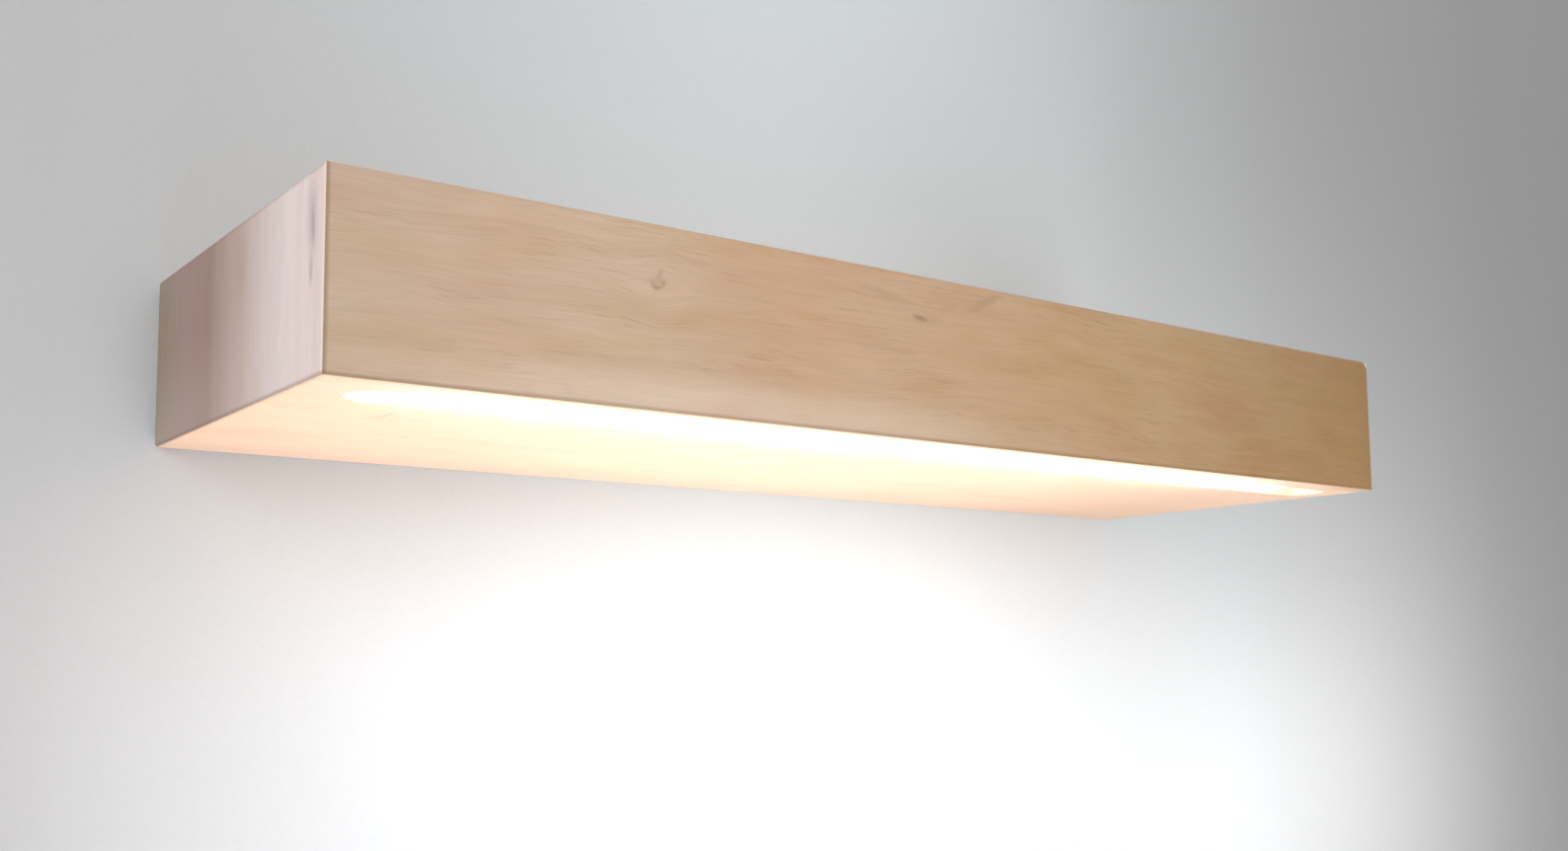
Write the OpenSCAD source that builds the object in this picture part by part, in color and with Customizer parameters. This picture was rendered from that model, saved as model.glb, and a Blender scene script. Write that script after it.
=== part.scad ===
// Wall lamp in the form of a wooden shelf: a hollow box with mitred corners that slides onto a
// hidden steel bracket, with a light slot routed along its underside. Sizes are millimetres.
// X runs along the wall, Y runs into the wall, whose face is at Y = 0, and Z is up. The origin
// is the middle of the bracket, on the face of the wall.

/* [Shelf box] */
// Overall width along the wall
shelf_w = 600; // [590:10:900]
// Depth from the wall to the front face
shelf_d = 200; // [196:2:300]
// Overall height of the box
shelf_h = 73; // [70:1:100]
// Thickness of every board
board_t = 18; // [16:0.5:19]
// Rounding of the upper right edge
right_edge_r = 8; // [1:0.5:10]
// Rounding of the two edges along the wall
rear_edge_r = 5.5; // [1:0.5:8]
// Rounding of all other edges
crisp_edge_r = 1.5; // [0.5:0.5:3]

/* [Loose tongues] */
// Width of a tongue, across the mitre
tongue_w = 10; // [6:0.5:12]
// Thickness of a tongue
tongue_t = 3; // [2:0.5:4]
// Length of the two tongues along the front
front_tongue_l = 520; // [300:10:540]
// Length of the four tongues at the ends
end_tongue_l = 110; // [60:5:120]
// Length of the two upright tongues in the front corners
upright_tongue_l = 28; // [16:1:30]

/* [Glue blocks] */
// Side of a square corner block
corner_block_w = 18; // [14:1:22]
// Width of a block that takes a bracket rod
rod_block_w = 40; // [30:1:50]

/* [Back panel] */
// Depth of the recess behind the panel
recess_depth = 9; // [9:0.5:14]
// Thickness of the back panel
panel_t = 4; // [3:0.5:6]
// Gap around the back panel
panel_clear = 0.3; // [0.1:0.1:1]
// Diameter of the panel's holes for the rods
panel_rod_hole_d = 16; // [14:0.5:20]

/* [Wall bracket] */
// Length of the bracket plate
plate_w = 480; // [470:10:520]
// Thickness of the bracket plate
plate_t = 4; // [3:0.5:4]
// Gap between the plate and the boards above and below it
plate_clear = 1.5; // [0.5:0.5:3]
// Diameter of a rod
rod_d = 12; // [8:1:14]
// Length of a rod in front of the plate
rod_l = 130; // [80:5:140]
// Distance between the rods' centres
rod_spacing = 320; // [300:10:340]
// Diameter of the rod's riveted end in the plate
rivet_d = 8; // [5:0.5:8]
// Radial clearance of a rod in its block
rod_fit = 0.1; // [0.05:0.01:0.1]
// Diameter of a wall screw hole
wall_hole_d = 5.5; // [4:0.5:7]
// Distance between wall screw holes, along the wall
wall_hole_pitch_x = 400; // [380:10:440]
// Distance between wall screw holes, up the wall
wall_hole_pitch_z = 18; // [14:1:20]

/* [Supply inlet] */
// Distance of the inlet from the middle of the bracket
inlet_x = 60; // [50:5:80]
// Bore of the grommets that the supply cable passes
grommet_bore_d = 9; // [7:0.5:10]
// Wall of a grommet inside its hole
grommet_wall = 2; // [1.5:0.5:2.5]
// How far a grommet's flange stands out beyond its hole
grommet_lip = 2; // [1:0.5:2.5]
// Thickness of a grommet's flange
grommet_flange_t = 1.5; // [1:0.25:1.5]
// Distance of the earth screw from the middle of the bracket
earth_x = 20; // [10:5:30]
// Diameter of the earth screw
earth_screw_d = 4; // [3:0.5:5]

/* [Light slot] */
// Width of the routed slot
slot_w = 24; // [24:0.5:26]
// Depth of the routed slot
slot_depth = 13; // [12:0.5:13.5]
// Wood left beyond each tip of the slot, on average
slot_end_margin = 16.5; // [16:0.5:22]
// How far the slot lies to the right of the shelf's middle
slot_offset = 2.5; // [0:0.5:2.5]
// Distance from the front face to the middle of the slot
slot_setback = 28.5; // [28:0.5:45]

/* [Light bar] */
// Bare slot left between each end of the bar and the slot's tip
bar_end_gap = 35; // [14:1:60]
// How far the light bar lies inside the underside
channel_recess = 1; // [0:0.25:3]
// Thickness of the channel's side walls
channel_wall = 1.2; // [1:0.1:1.5]
// Thickness of the channel's floor
channel_floor = 1.5; // [1.2:0.1:1.6]
// Gap between the channel and the slot on each side
channel_clear = 0.3; // [0.1:0.1:0.5]
// Thickness of each channel end cap
end_cap_t = 2; // [1:0.5:4]
// Thickness of the opal diffuser
diffuser_t = 2; // [1.8:0.1:2.5]
// Width of the LED strip
strip_w = 10; // [8:1:12]
// Thickness of the LED strip
strip_t = 0.4; // [0.3:0.1:0.6]
// How much shorter the strip is than the channel, at each end
strip_inset = 5; // [4:1:8]
// Distance between LED chips
chip_pitch = 17; // [10:1:40]
// Length of an LED chip, along the strip
chip_l = 3.5; // [2:0.5:5]
// Width of an LED chip, across the strip
chip_w = 2.8; // [2:0.1:5]
// Height of an LED chip
chip_h = 0.7; // [0.5:0.1:1.5]
// Number of screws that hold the channel
channel_screws_n = 3; // [2:1:5]
// Distance from the end of the channel to its first screw
channel_screw_inset = 60; // [30:5:80]
// Distance from the end of the channel to the lead's hole
lead_inset = 10; // [10:1:20]
// Diameter of the lead from the strip to the driver
led_lead_d = 4; // [3:0.5:4.5]

/* [Driver] */
// Length of the driver's case without its ears
driver_l = 140; // [138:2:160]
// Width of the driver's case
driver_w = 44; // [42:1:50]
// Height of the driver's case with its cover
driver_h = 24; // [23:0.5:28]
// Wall, floor and cover thickness of the case
driver_wall = 2; // [1.5:0.25:2.25]
// Length of each fixing ear
driver_ear_l = 12; // [10:0.5:14]
// Distance from the front face to the middle of the driver
driver_setback = 85; // [80:1:95]
// Gap between the circuit board's ends and the case, which the cover's screw posts need
circuit_end_gap = 10; // [8:0.5:12]
// Gap between the circuit board's sides and the case
circuit_side_gap = 1; // [0.5:0.25:2]
// Thickness of the circuit board
circuit_t = 1.6; // [1:0.2:2]
// Height of the posts under the circuit board
circuit_rise = 4; // [3:0.5:5]
// Diameter of the lead from the terminal block to the driver
mains_lead_d = 5; // [4:0.5:5.5]

/* [Terminal block] */
// Number of poles
poles = 3; // [2:1:3]
// Distance between poles
pole_pitch = 10; // [9:0.5:11]
// Length of the block along the wires
terminal_l = 20; // [18:1:24]
// Height of the block
terminal_h = 15; // [14:0.5:18]
// Distance of the block's middle from the end of the driver's case
terminal_offset = 20; // [15:1:25]
// Distance from the wall to the middle of the block
terminal_setback = 45; // [40:1:46]

/* [Hidden] */
$fn = 64;

// Overrun of a cut past the face that it opens
over = 5;
// Gap around a part that is glued or pressed into its seat
seat_clear = 0.05;
// Gap around a part that drops loosely into its seat
loose_clear = 0.2;

// The box
half_w = shelf_w / 2;
half_h = shelf_h / 2;
inner_w = half_w - board_t;
inner_z = half_h - board_t;
inner_front = board_t - shelf_d;
panel_rear = -recess_depth;
panel_front = panel_rear - panel_t;
wood_pale = "#DCC2A0";

// The tongues lie in the middle of each mitre
mitre_mid_x = half_w - board_t / 2;
mitre_mid_y = board_t / 2 - shelf_d;
mitre_mid_z = half_h - board_t / 2;
// Distance from the wall to the near end of the end tongues
end_tongue_setback = 24;

// The bracket
plate_z = inner_z - plate_clear;
rod_x = rod_spacing / 2;
rod_tip_chamfer = 1.5;
// Distance by which a block is longer than the rod in it
rod_end_gap = 5;
rod_block_front = -plate_t - rod_l - rod_end_gap;
grommet_hole_d = grommet_bore_d + 2 * grommet_wall;
grommet_flange_d = grommet_hole_d + 2 * grommet_lip;
earth_head_d = 2 * earth_screw_d;
earth_head_h = 2.5;
earth_washer_d = earth_head_d + 1;
earth_washer_t = 0.8;

// The light slot and bar
slot_y = slot_setback - shelf_d;
slot_top = slot_depth - half_h;
slot_tip = half_w - slot_end_margin;
channel_l = 2 * (slot_tip - bar_end_gap - end_cap_t);
channel_half = slot_w / 2 - channel_clear;
channel_inner = channel_half - channel_wall;
channel_h = slot_depth - channel_recess;
channel_bottom = slot_top - channel_h;
channel_floor_z = slot_top - channel_floor;
// Ribs along the diffuser's edges that clip into grooves in the channel
clip_h = 0.8;
clip_d = 0.4;
clip_clear = 0.1;
diffuser_half = channel_inner - loose_clear;
diffuser_top = channel_bottom + diffuser_t;
clip_low = channel_bottom + (diffuser_t - clip_h) / 2;
end_plug_l = 3;
strip_l = channel_l - 2 * strip_inset;
strip_bottom = channel_floor_z - strip_t;
chips_n = floor(strip_l / chip_pitch);
lead_x = slot_offset + lead_inset - channel_l / 2;
bush_bore_d = led_lead_d + 0.4;
bush_wall = 0.8;
bush_d = bush_bore_d + 2 * bush_wall;
bush_flange_d = bush_d + 3;
bush_flange_t = 1;

// Wood screws: [head diameter, shank diameter, length, head height]
panel_screw = [6, 3, 16, 1.8];
channel_screw = [4.4, 2.4, 5, 1.1];
cover_screw = [4, 2.2, 9, 1];
fixing_screw = [7, 3.5, 14, 2.2];
terminal_fixing = [5, 2.8, 18, 1.5];
driver_slot_t = 0.8;

// The driver stands on the bottom board
floor_z = -inner_z;
driver_y = driver_setback - shelf_d;
driver_ear_t = 3;
driver_post_d = 6.4;
// How far the cover's screw posts are sunk into the walls
driver_post_sink = 1;
driver_post_x = driver_l / 2 - driver_wall - driver_post_d / 2 + driver_post_sink;
driver_post_y = driver_w / 2 - driver_wall - driver_post_d / 2 + driver_post_sink;
driver_lid_z = floor_z + driver_h - driver_wall;
driver_lip_h = 1.5;
circuit_l = driver_l - 2 * driver_wall - 2 * circuit_end_gap;
circuit_w = driver_w - 2 * driver_wall - 2 * circuit_side_gap;
circuit_z = floor_z + driver_wall + circuit_rise;
circuit_top = circuit_z + circuit_t;
circuit_post_d = 5;
circuit_post_inset = [6, 5];
circuit_post_x = circuit_l / 2 - circuit_post_inset.x;
circuit_post_y = circuit_w / 2 - circuit_post_inset.y;
connector_size = [12, 12, 8];
connector_x = circuit_l / 2 - connector_size.x / 2;
lead_z = circuit_top + connector_size.z / 2;
core_size = [26, 22, 12];
core_x = 8;
core_leg_w = 7;
core_side_w = 4;
core_yoke_w = 4;
winding_gap = 0.4;
capacitor_d = 10;
capacitor_h = 11;
capacitor_at = [[-22, -9], [-22, 9], [32, -9]];
choke_at = [32, 8];
choke_ring_r = 4.5;
choke_wire_r = 2.5;

// The terminal block stands behind the driver
terminal_x = driver_l / 2 + terminal_offset;
terminal_y = -terminal_setback;
terminal_front = terminal_y - terminal_l / 2;
terminal_end_wall = 3;
terminal_w = poles * pole_pitch + 2 * terminal_end_wall;
terminal_wire_rise = 6;
terminal_wire_z = floor_z + terminal_wire_rise;
clamp_d = 6;
clamp_bore_d = 3.4;
clamp_l = terminal_l - 2;
clamp_screw_y = terminal_l / 4;
clamp_screw_d = 3;
clamp_head_d = 4;
clamp_head_h = 2;
clamp_well_d = clamp_head_d + 0.6;

// The lead from the strip to the driver. It leaves the strip straight up, turns into a lane on
// the floor in front of the rod block, then turns back and rises to its connector. Each point,
// chosen by hand, is its share of the way along X, its share of the way along Y and its height
// above the floor. The shares along Y run to the lane first, and then from the lane to the driver.
led_lead_out = [
    [0, 0, 3], [0.02, 0.13, 8], [0.06, 0.36, 11], [0.11, 0.63, 10], [0.16, 0.83, 6],
    [0.22, 0.93, 3.5], [0.28, 1, 2.5], [0.37, 1, 2.5], [0.46, 1, 2.5], [0.55, 1, 2.5]
];
led_lead_back = [
    [0.62, 0.03, 2.5], [0.68, 0.11, 3.5], [0.72, 0.31, 6], [0.75, 0.57, 9],
    [0.79, 0.83, 11], [0.84, 0.97, 11.5]
];
// Distance of the lane from the rod block
led_lane_gap = 13;
led_lane_y = rod_block_front - led_lane_gap;
// Length of the lead that runs straight outside the driver's case
led_lead_straight = 6;
led_lead_start = [lead_x, slot_y, channel_floor_z];
led_lead_end = [-circuit_l / 2, driver_y, lead_z];
led_lead_run = led_lead_end.x - lead_x;
led_lead_path = [
    led_lead_start,
    led_lead_start + [0, 0, led_lead_d],
    for (p = led_lead_out)
        [lead_x + p.x * led_lead_run, slot_y + p.y * (led_lane_y - slot_y), floor_z + p.z],
    for (p = led_lead_back)
        [lead_x + p.x * led_lead_run, led_lane_y + p.y * (driver_y - led_lane_y), floor_z + p.z],
    led_lead_end - [circuit_end_gap + driver_wall + led_lead_straight, 0, 0],
    led_lead_end - [led_lead_d, 0, 0],
    led_lead_end
];

// The lead from the terminal block to the driver. Each point, chosen by hand, is its distance
// from the end of the driver's case, its share of the way along Y, and its height above the floor.
mains_lead_points = [
    [22, 0.25, 6.5], [27, 0.43, 8], [30, 0.6, 10], [29, 0.77, 11], [24, 0.9, 11.5],
    [16, 0.98, 11.6], [7, 1, 11.6]
];
mains_lead_start = [terminal_x, terminal_front, terminal_wire_z];
mains_lead_end = [circuit_l / 2, driver_y, lead_z];
mains_lead_path = [
    mains_lead_start,
    mains_lead_start - [0, mains_lead_d, 0],
    for (p = mains_lead_points)
        [
            driver_l / 2 + p.x,
            terminal_front + p.y * (driver_y - terminal_front),
            floor_z + p.z
        ],
    mains_lead_end + [mains_lead_d, 0, 0],
    mains_lead_end
];

// Extrudes a shape drawn in Y and Z along the whole length of the shelf
module along_x(length = shelf_w + 2 * over) {
    rotate([90, 0, 90])
        linear_extrude(length, center = true)
            children();
}

// Extrudes a shape drawn in X and Z from the wall to the front of the shelf
module along_y() {
    rotate([90, 0, 0])
        translate([0, 0, -over])
            linear_extrude(shelf_d + 2 * over)
                children();
}

// Extrudes a shape drawn in X and Y over the height of the shelf
module along_z() {
    linear_extrude(shelf_h + 2 * over, center = true)
        children();
}

// A rectangle between two corners, with a radius for each corner: low left, low right,
// high right, high left
module rounded_rectangle(low, high, radii) {
    corners = [low, [high.x, low.y], high, [low.x, high.y]];
    difference() {
        translate(low)
            square(high - low);
        for (i = [0:3])
            translate(corners[i])
                rotate(90 * i)
                    difference() {
                        translate([-over, -over])
                            square(radii[i] + over);
                        translate([radii[i], radii[i]])
                            circle(radii[i]);
                    }
    }
}

// The box's outer form, rounded along every edge
module outer_form() {
    crisp = crisp_edge_r;
    front_radii = [crisp, crisp, right_edge_r, crisp];
    side_radii = [crisp, rear_edge_r, rear_edge_r, crisp];
    plan_radii = [crisp, crisp, crisp, crisp];
    intersection() {
        along_y()
            rounded_rectangle([-half_w, -half_h], [half_w, half_h], front_radii);
        along_x()
            rounded_rectangle([-shelf_d, -half_h], [0, half_h], side_radii);
        along_z()
            rounded_rectangle([-half_w, -shelf_d], [half_w, 0], plan_radii);
    }
}

// The space of the top board, mitred to the front board and to both end boards
module top_wedge() {
    intersection() {
        along_x()
            polygon([
                [-shelf_d - over, half_h + over], [over, half_h + over],
                [over, inner_z], [inner_front, inner_z]
            ]);
        along_y()
            polygon([
                [-half_w - over, half_h + over], [half_w + over, half_h + over],
                [inner_w, inner_z], [-inner_w, inner_z]
            ]);
    }
}

// The space of the front board, mitred on all four sides
module front_wedge() {
    intersection() {
        along_x()
            polygon([
                [-shelf_d - over, half_h + over], [inner_front, inner_z],
                [inner_front, -inner_z], [-shelf_d - over, -half_h - over]
            ]);
        along_z()
            polygon([
                [-half_w - over, -shelf_d - over], [half_w + over, -shelf_d - over],
                [inner_w, inner_front], [-inner_w, inner_front]
            ]);
    }
}

// The space of the left end board, mitred on three sides and open to the wall
module left_wedge() {
    intersection() {
        along_y()
            polygon([
                [-half_w - over, half_h + over], [-inner_w, inner_z],
                [-inner_w, -inner_z], [-half_w - over, -half_h - over]
            ]);
        along_z()
            polygon([
                [-half_w - over, -shelf_d - over], [-inner_w, inner_front],
                [-inner_w, over], [-half_w - over, over]
            ]);
    }
}

// One tongue along the front, above (side 1) or below (side -1)
module front_tongue(side, clear = 0) {
    grow = 2 * clear;
    translate([0, mitre_mid_y, side * mitre_mid_z])
        rotate([side * 45, 0, 0])
            cube([front_tongue_l + grow, tongue_w + grow, tongue_t + grow], center = true);
}

// One tongue at an end of the shelf, left or right and above or below
module end_tongue(side_x, side_z, clear = 0) {
    grow = 2 * clear;
    translate([side_x * mitre_mid_x, -end_tongue_setback - end_tongue_l / 2, side_z * mitre_mid_z])
        rotate([0, side_x * side_z * 45, 0])
            cube([tongue_w + grow, end_tongue_l + grow, tongue_t + grow], center = true);
}

// One upright tongue in a front corner, left or right
module upright_tongue(side_x, clear = 0) {
    grow = 2 * clear;
    translate([side_x * mitre_mid_x, mitre_mid_y, 0])
        rotate([0, 0, side_x * 45])
            cube([tongue_w + grow, tongue_t + grow, upright_tongue_l + grow], center = true);
}

// A countersunk screw with its head's face at the origin and its point down -Z
module wood_screw(screw) {
    head_r = screw[0] / 2;
    shank_r = screw[1] / 2;
    length = screw[2];
    head_h = screw[3];
    slot_depth_in_head = head_h / 2;
    difference() {
        rotate_extrude()
            polygon([
                [0, 0], [head_r, 0], [shank_r, -head_h],
                [shank_r, 2 * shank_r - length], [0, -length]
            ]);
        for (turn = [0, 90])
            rotate(turn)
                translate([0, 0, over - slot_depth_in_head])
                    cube([1.2 * head_r, driver_slot_t, 2 * over], center = true);
    }
}

// The hole that a wood screw fits, countersunk at the origin
module screw_hole(screw) {
    head_r = screw[0] / 2 + seat_clear;
    shank_r = screw[1] / 2 + seat_clear;
    length = screw[2] + seat_clear;
    head_h = screw[3];
    rotate_extrude()
        polygon([
            [0, over], [head_r, over], [head_r, 0], [shank_r, -head_h],
            [shank_r, -length], [0, -length]
        ]);
}

// A ring between two heights
module ring(outer_d, inner_d, low, high) {
    translate([0, 0, low])
        difference() {
            cylinder(d = outer_d, h = high - low);
            translate([0, 0, -over])
                cylinder(d = inner_d, h = high - low + 2 * over);
        }
}

// Turns a shape that is drawn up Z to point at the wall, from a given depth
module facing_wall(x, y, z = 0) {
    translate([x, y, z])
        rotate([-90, 0, 0])
            children();
}

// Turns a shape that is drawn up Z to point away from the wall, from a given depth
module facing_room(x, y, z = 0) {
    translate([x, y, z])
        rotate([90, 0, 0])
            children();
}

function unit(v) = v / norm(v);
function path_tangent(path, i) =
    unit(path[min(i + 1, len(path) - 1)] - path[max(i - 1, 0)]);
// The ring's first spoke, carried along the path with no twist
function path_spoke(path, i) =
    let (
        t = path_tangent(path, i),
        last = i == 0 ? [0.6, 0.8, 0.1] : path_spoke(path, i - 1)
    )
    unit(last - (last * t) * t);
function path_ring(path, i, r, sides) =
    let (
        t = path_tangent(path, i),
        u = path_spoke(path, i),
        v = cross(t, u)
    )
    [for (k = [0:sides - 1]) path[i] + r * (cos(360 * k / sides) * u + sin(360 * k / sides) * v)];

// A round lead along a path
module lead(path, d, sides) {
    rings = len(path);
    points = [for (i = [0:rings - 1]) each path_ring(path, i, d / 2, sides)];
    walls = [
        for (i = [0:rings - 2], k = [0:sides - 1])
            let (
                a = i * sides + k,
                b = i * sides + (k + 1) % sides
            )
            each [[a, b, b + sides], [a, b + sides, a + sides]]
    ];
    start_cap = [for (k = [1:sides - 2]) [0, k + 1, k]];
    base = (rings - 1) * sides;
    end_cap = [for (k = [1:sides - 2]) [base, base + k, base + k + 1]];
    polyhedron(points, [for (f = concat(walls, start_cap, end_cap)) [f[0], f[2], f[1]]]);
}

// Distance of a rod block's panel screws from the rod, midway between its hole and the block's side
panel_screw_offset = (rod_block_w + panel_rod_hole_d) / 4;
// Where each screw of the back panel goes: two in each rod block, one in each corner block
panel_screw_x = [
    for (side = [-1, 1])
        each [
            side * (inner_w - corner_block_w / 2),
            side * (rod_x - panel_screw_offset), side * (rod_x + panel_screw_offset)
        ]
];

// Where each screw of the channel goes
channel_screw_span = channel_l - 2 * channel_screw_inset;
channel_screw_x = [
    for (i = [0:channel_screws_n - 1])
        slot_offset + channel_screw_span * (i / (channel_screws_n - 1) - 0.5)
];

// ---- Bracket ----

module bracket_plate() {
    color("#8D9093")
        difference() {
            translate([-plate_w / 2, -plate_t, -plate_z])
                cube([plate_w, plate_t, 2 * plate_z]);
            for (side_x = [-1, 1], side_z = [-1, 1])
                facing_room(side_x * wall_hole_pitch_x / 2, over, side_z * wall_hole_pitch_z / 2)
                    cylinder(d = wall_hole_d, h = plate_t + 2 * over);
            for (side_x = [-1, 1])
                facing_room(side_x * rod_x, over)
                    cylinder(d = rivet_d + 2 * seat_clear, h = plate_t + 2 * over);
            facing_room(inlet_x, over)
                cylinder(d = grommet_hole_d + 2 * seat_clear, h = plate_t + 2 * over);
            facing_room(earth_x, over)
                cylinder(d = earth_screw_d + 2 * seat_clear, h = plate_t + 2 * over);
        }
}

module bracket_rods() {
    color("#A8ABAE")
        for (side_x = [-1, 1])
            facing_room(side_x * rod_x, 0)
                rotate_extrude()
                    polygon([
                        [0, 0], [rivet_d / 2, 0], [rivet_d / 2, plate_t], [rod_d / 2, plate_t],
                        [rod_d / 2, plate_t + rod_l - rod_tip_chamfer],
                        [rod_d / 2 - rod_tip_chamfer, plate_t + rod_l], [0, plate_t + rod_l]
                    ]);
}

module bracket_grommet() {
    color("#2B2B2D")
        facing_room(inlet_x, 0)
            union() {
                ring(grommet_hole_d, grommet_bore_d, 0, plate_t);
                ring(grommet_flange_d, grommet_bore_d, plate_t, plate_t + grommet_flange_t);
            }
}

module earth_screw() {
    color("#C9A24B")
        facing_room(earth_x, 0)
            difference() {
                union() {
                    cylinder(d = earth_screw_d, h = plate_t + earth_washer_t);
                    translate([0, 0, plate_t + earth_washer_t])
                        cylinder(d = earth_head_d, h = earth_head_h);
                }
                translate([0, 0, plate_t + earth_washer_t + earth_head_h])
                    for (turn = [0, 90])
                        rotate(turn)
                            cube([earth_head_d * 0.6, driver_slot_t, earth_head_h], center = true);
            }
}

module earth_washer() {
    color("#B9BBBD")
        facing_room(earth_x, 0)
            ring(earth_washer_d, earth_screw_d + 2 * seat_clear, plate_t, plate_t + earth_washer_t);
}

// ---- Shelf box ----

module top_board() {
    color(wood_pale)
        difference() {
            intersection() {
                outer_form();
                top_wedge();
            }
            front_tongue(1, seat_clear);
            for (side_x = [-1, 1])
                end_tongue(side_x, 1, seat_clear);
        }
}

module bottom_board() {
    color(wood_pale)
        difference() {
            intersection() {
                outer_form();
                mirror([0, 0, 1])
                    top_wedge();
            }
            front_tongue(-1, seat_clear);
            for (side_x = [-1, 1])
                end_tongue(side_x, -1, seat_clear);
            translate([0, 0, -half_h - over])
                linear_extrude(slot_depth + over)
                    slot_outline();
            translate([lead_x, slot_y, 0])
                ring(bush_d + 2 * seat_clear, 0, slot_top - over, floor_z + over);
            for (x = channel_screw_x)
                translate([x, slot_y, channel_floor_z])
                    mirror([0, 0, 1])
                        screw_hole(channel_screw);
            driver_screw_places()
                screw_hole(fixing_screw);
            terminal_screw_places()
                screw_hole(terminal_fixing);
        }
}

// The slot seen from below: straight sides and round ends
module slot_outline() {
    straight = slot_tip - slot_w / 2;
    translate([slot_offset, slot_y])
        union() {
            square([2 * straight, slot_w], center = true);
            for (side_x = [-1, 1])
                translate([side_x * straight, 0])
                    circle(d = slot_w);
        }
}

module front_board() {
    color(wood_pale)
        difference() {
            intersection() {
                outer_form();
                front_wedge();
            }
            for (side = [-1, 1]) {
                front_tongue(side, seat_clear);
                upright_tongue(side, seat_clear);
            }
        }
}

// The left end board; the right one is its mirror image
module end_board() {
    difference() {
        intersection() {
            outer_form();
            left_wedge();
        }
        upright_tongue(-1, seat_clear);
        for (side_z = [-1, 1])
            end_tongue(-1, side_z, seat_clear);
    }
}

module left_end_board() {
    color(wood_pale)
        end_board();
}

module right_end_board() {
    color(wood_pale)
        mirror([1, 0, 0])
            end_board();
}

module front_tongues() {
    color("#C79F72")
        for (side = [-1, 1])
            front_tongue(side);
}

module end_tongues() {
    color("#C79F72")
        for (side_x = [-1, 1], side_z = [-1, 1])
            end_tongue(side_x, side_z);
}

module upright_tongues() {
    color("#C79F72")
        for (side_x = [-1, 1])
            upright_tongue(side_x);
}

module corner_blocks() {
    rear_y = panel_front - corner_block_w;
    color("#CDAE84")
        for (side_x = [-1, 1])
            for (y = [inner_front, rear_y])
                difference() {
                    translate([side_x * (inner_w - corner_block_w / 2), y, 0])
                        translate([-corner_block_w / 2, 0, -inner_z])
                            cube([corner_block_w, corner_block_w, 2 * inner_z]);
                    panel_screw_holes();
                }
}

module rod_block(side_x) {
    difference() {
        translate([side_x * rod_x - rod_block_w / 2, rod_block_front, -inner_z])
            cube([rod_block_w, panel_front - rod_block_front, 2 * inner_z]);
        facing_room(side_x * rod_x, panel_front + over)
            cylinder(d = rod_d + 2 * rod_fit, h = panel_front - rod_block_front + 2 * over);
        panel_screw_holes();
    }
}

module left_rod_block() {
    color("#CDAE84")
        rod_block(-1);
}

module right_rod_block() {
    color("#CDAE84")
        rod_block(1);
}

module panel_screw_holes() {
    for (x = panel_screw_x)
        facing_wall(x, panel_rear)
            screw_hole(panel_screw);
}

module back_panel() {
    panel_w = 2 * (inner_w - panel_clear);
    panel_h = 2 * (inner_z - panel_clear);
    color("#D9C39C")
        difference() {
            translate([-panel_w / 2, panel_front, -panel_h / 2])
                cube([panel_w, panel_t, panel_h]);
            for (side_x = [-1, 1])
                facing_room(side_x * rod_x, panel_rear + over)
                    cylinder(d = panel_rod_hole_d, h = panel_t + 2 * over);
            facing_room(inlet_x, panel_rear + over)
                cylinder(d = grommet_hole_d + 2 * seat_clear, h = panel_t + 2 * over);
            panel_screw_holes();
        }
}

module back_panel_screws() {
    color("#B9BBBD")
        for (x = panel_screw_x)
            facing_wall(x, panel_rear)
                wood_screw(panel_screw);
}

module panel_grommet() {
    color("#2B2B2D")
        facing_room(inlet_x, panel_rear)
            union() {
                ring(grommet_flange_d, grommet_bore_d, -grommet_flange_t, 0);
                ring(grommet_hole_d, grommet_bore_d, 0, panel_t);
                ring(grommet_flange_d, grommet_bore_d, panel_t, panel_t + grommet_flange_t);
            }
}

// ---- Light bar ----

module led_channel() {
    groove_d = channel_inner + clip_d - loose_clear + clip_clear;
    groove_low = clip_low - clip_clear;
    groove_high = clip_low + clip_h + clip_clear;
    color("#B7BABC")
        difference() {
            translate([slot_offset, 0, 0])
                along_x(channel_l)
                    translate([slot_y, 0])
                        difference() {
                            translate([-channel_half, channel_bottom])
                                square([2 * channel_half, channel_h]);
                            translate([-channel_inner, channel_bottom - over])
                                square([2 * channel_inner, channel_h - channel_floor + over]);
                            translate([-groove_d, groove_low])
                                square([2 * groove_d, groove_high - groove_low]);
                        }
            translate([lead_x, slot_y, 0])
                ring(bush_d + 2 * seat_clear, 0, channel_floor_z - over, slot_top + over);
            for (x = channel_screw_x)
                translate([x, slot_y, channel_floor_z])
                    mirror([0, 0, 1])
                        screw_hole(channel_screw);
        }
}

module channel_end_caps() {
    plug_half = channel_inner - seat_clear;
    plug_low = diffuser_top + seat_clear;
    plug_h = channel_floor_z - seat_clear - plug_low;
    color("#D8D8D6")
        for (side_x = [-1, 1])
            translate([slot_offset + side_x * channel_l / 2, slot_y, 0])
                union() {
                    translate([side_x > 0 ? 0 : -end_cap_t, -channel_half, channel_bottom])
                        cube([end_cap_t, 2 * channel_half, channel_h]);
                    translate([side_x > 0 ? -end_plug_l : 0, -plug_half, plug_low])
                        cube([end_plug_l, 2 * plug_half, plug_h]);
                }
}

module channel_screws() {
    color("#B9BBBD")
        for (x = channel_screw_x)
            translate([x, slot_y, channel_floor_z])
                mirror([0, 0, 1])
                    wood_screw(channel_screw);
}

module led_strip() {
    color("#F4F2EA")
        translate([slot_offset - strip_l / 2, slot_y - strip_w / 2, strip_bottom])
            cube([strip_l, strip_w, strip_t]);
}

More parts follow.
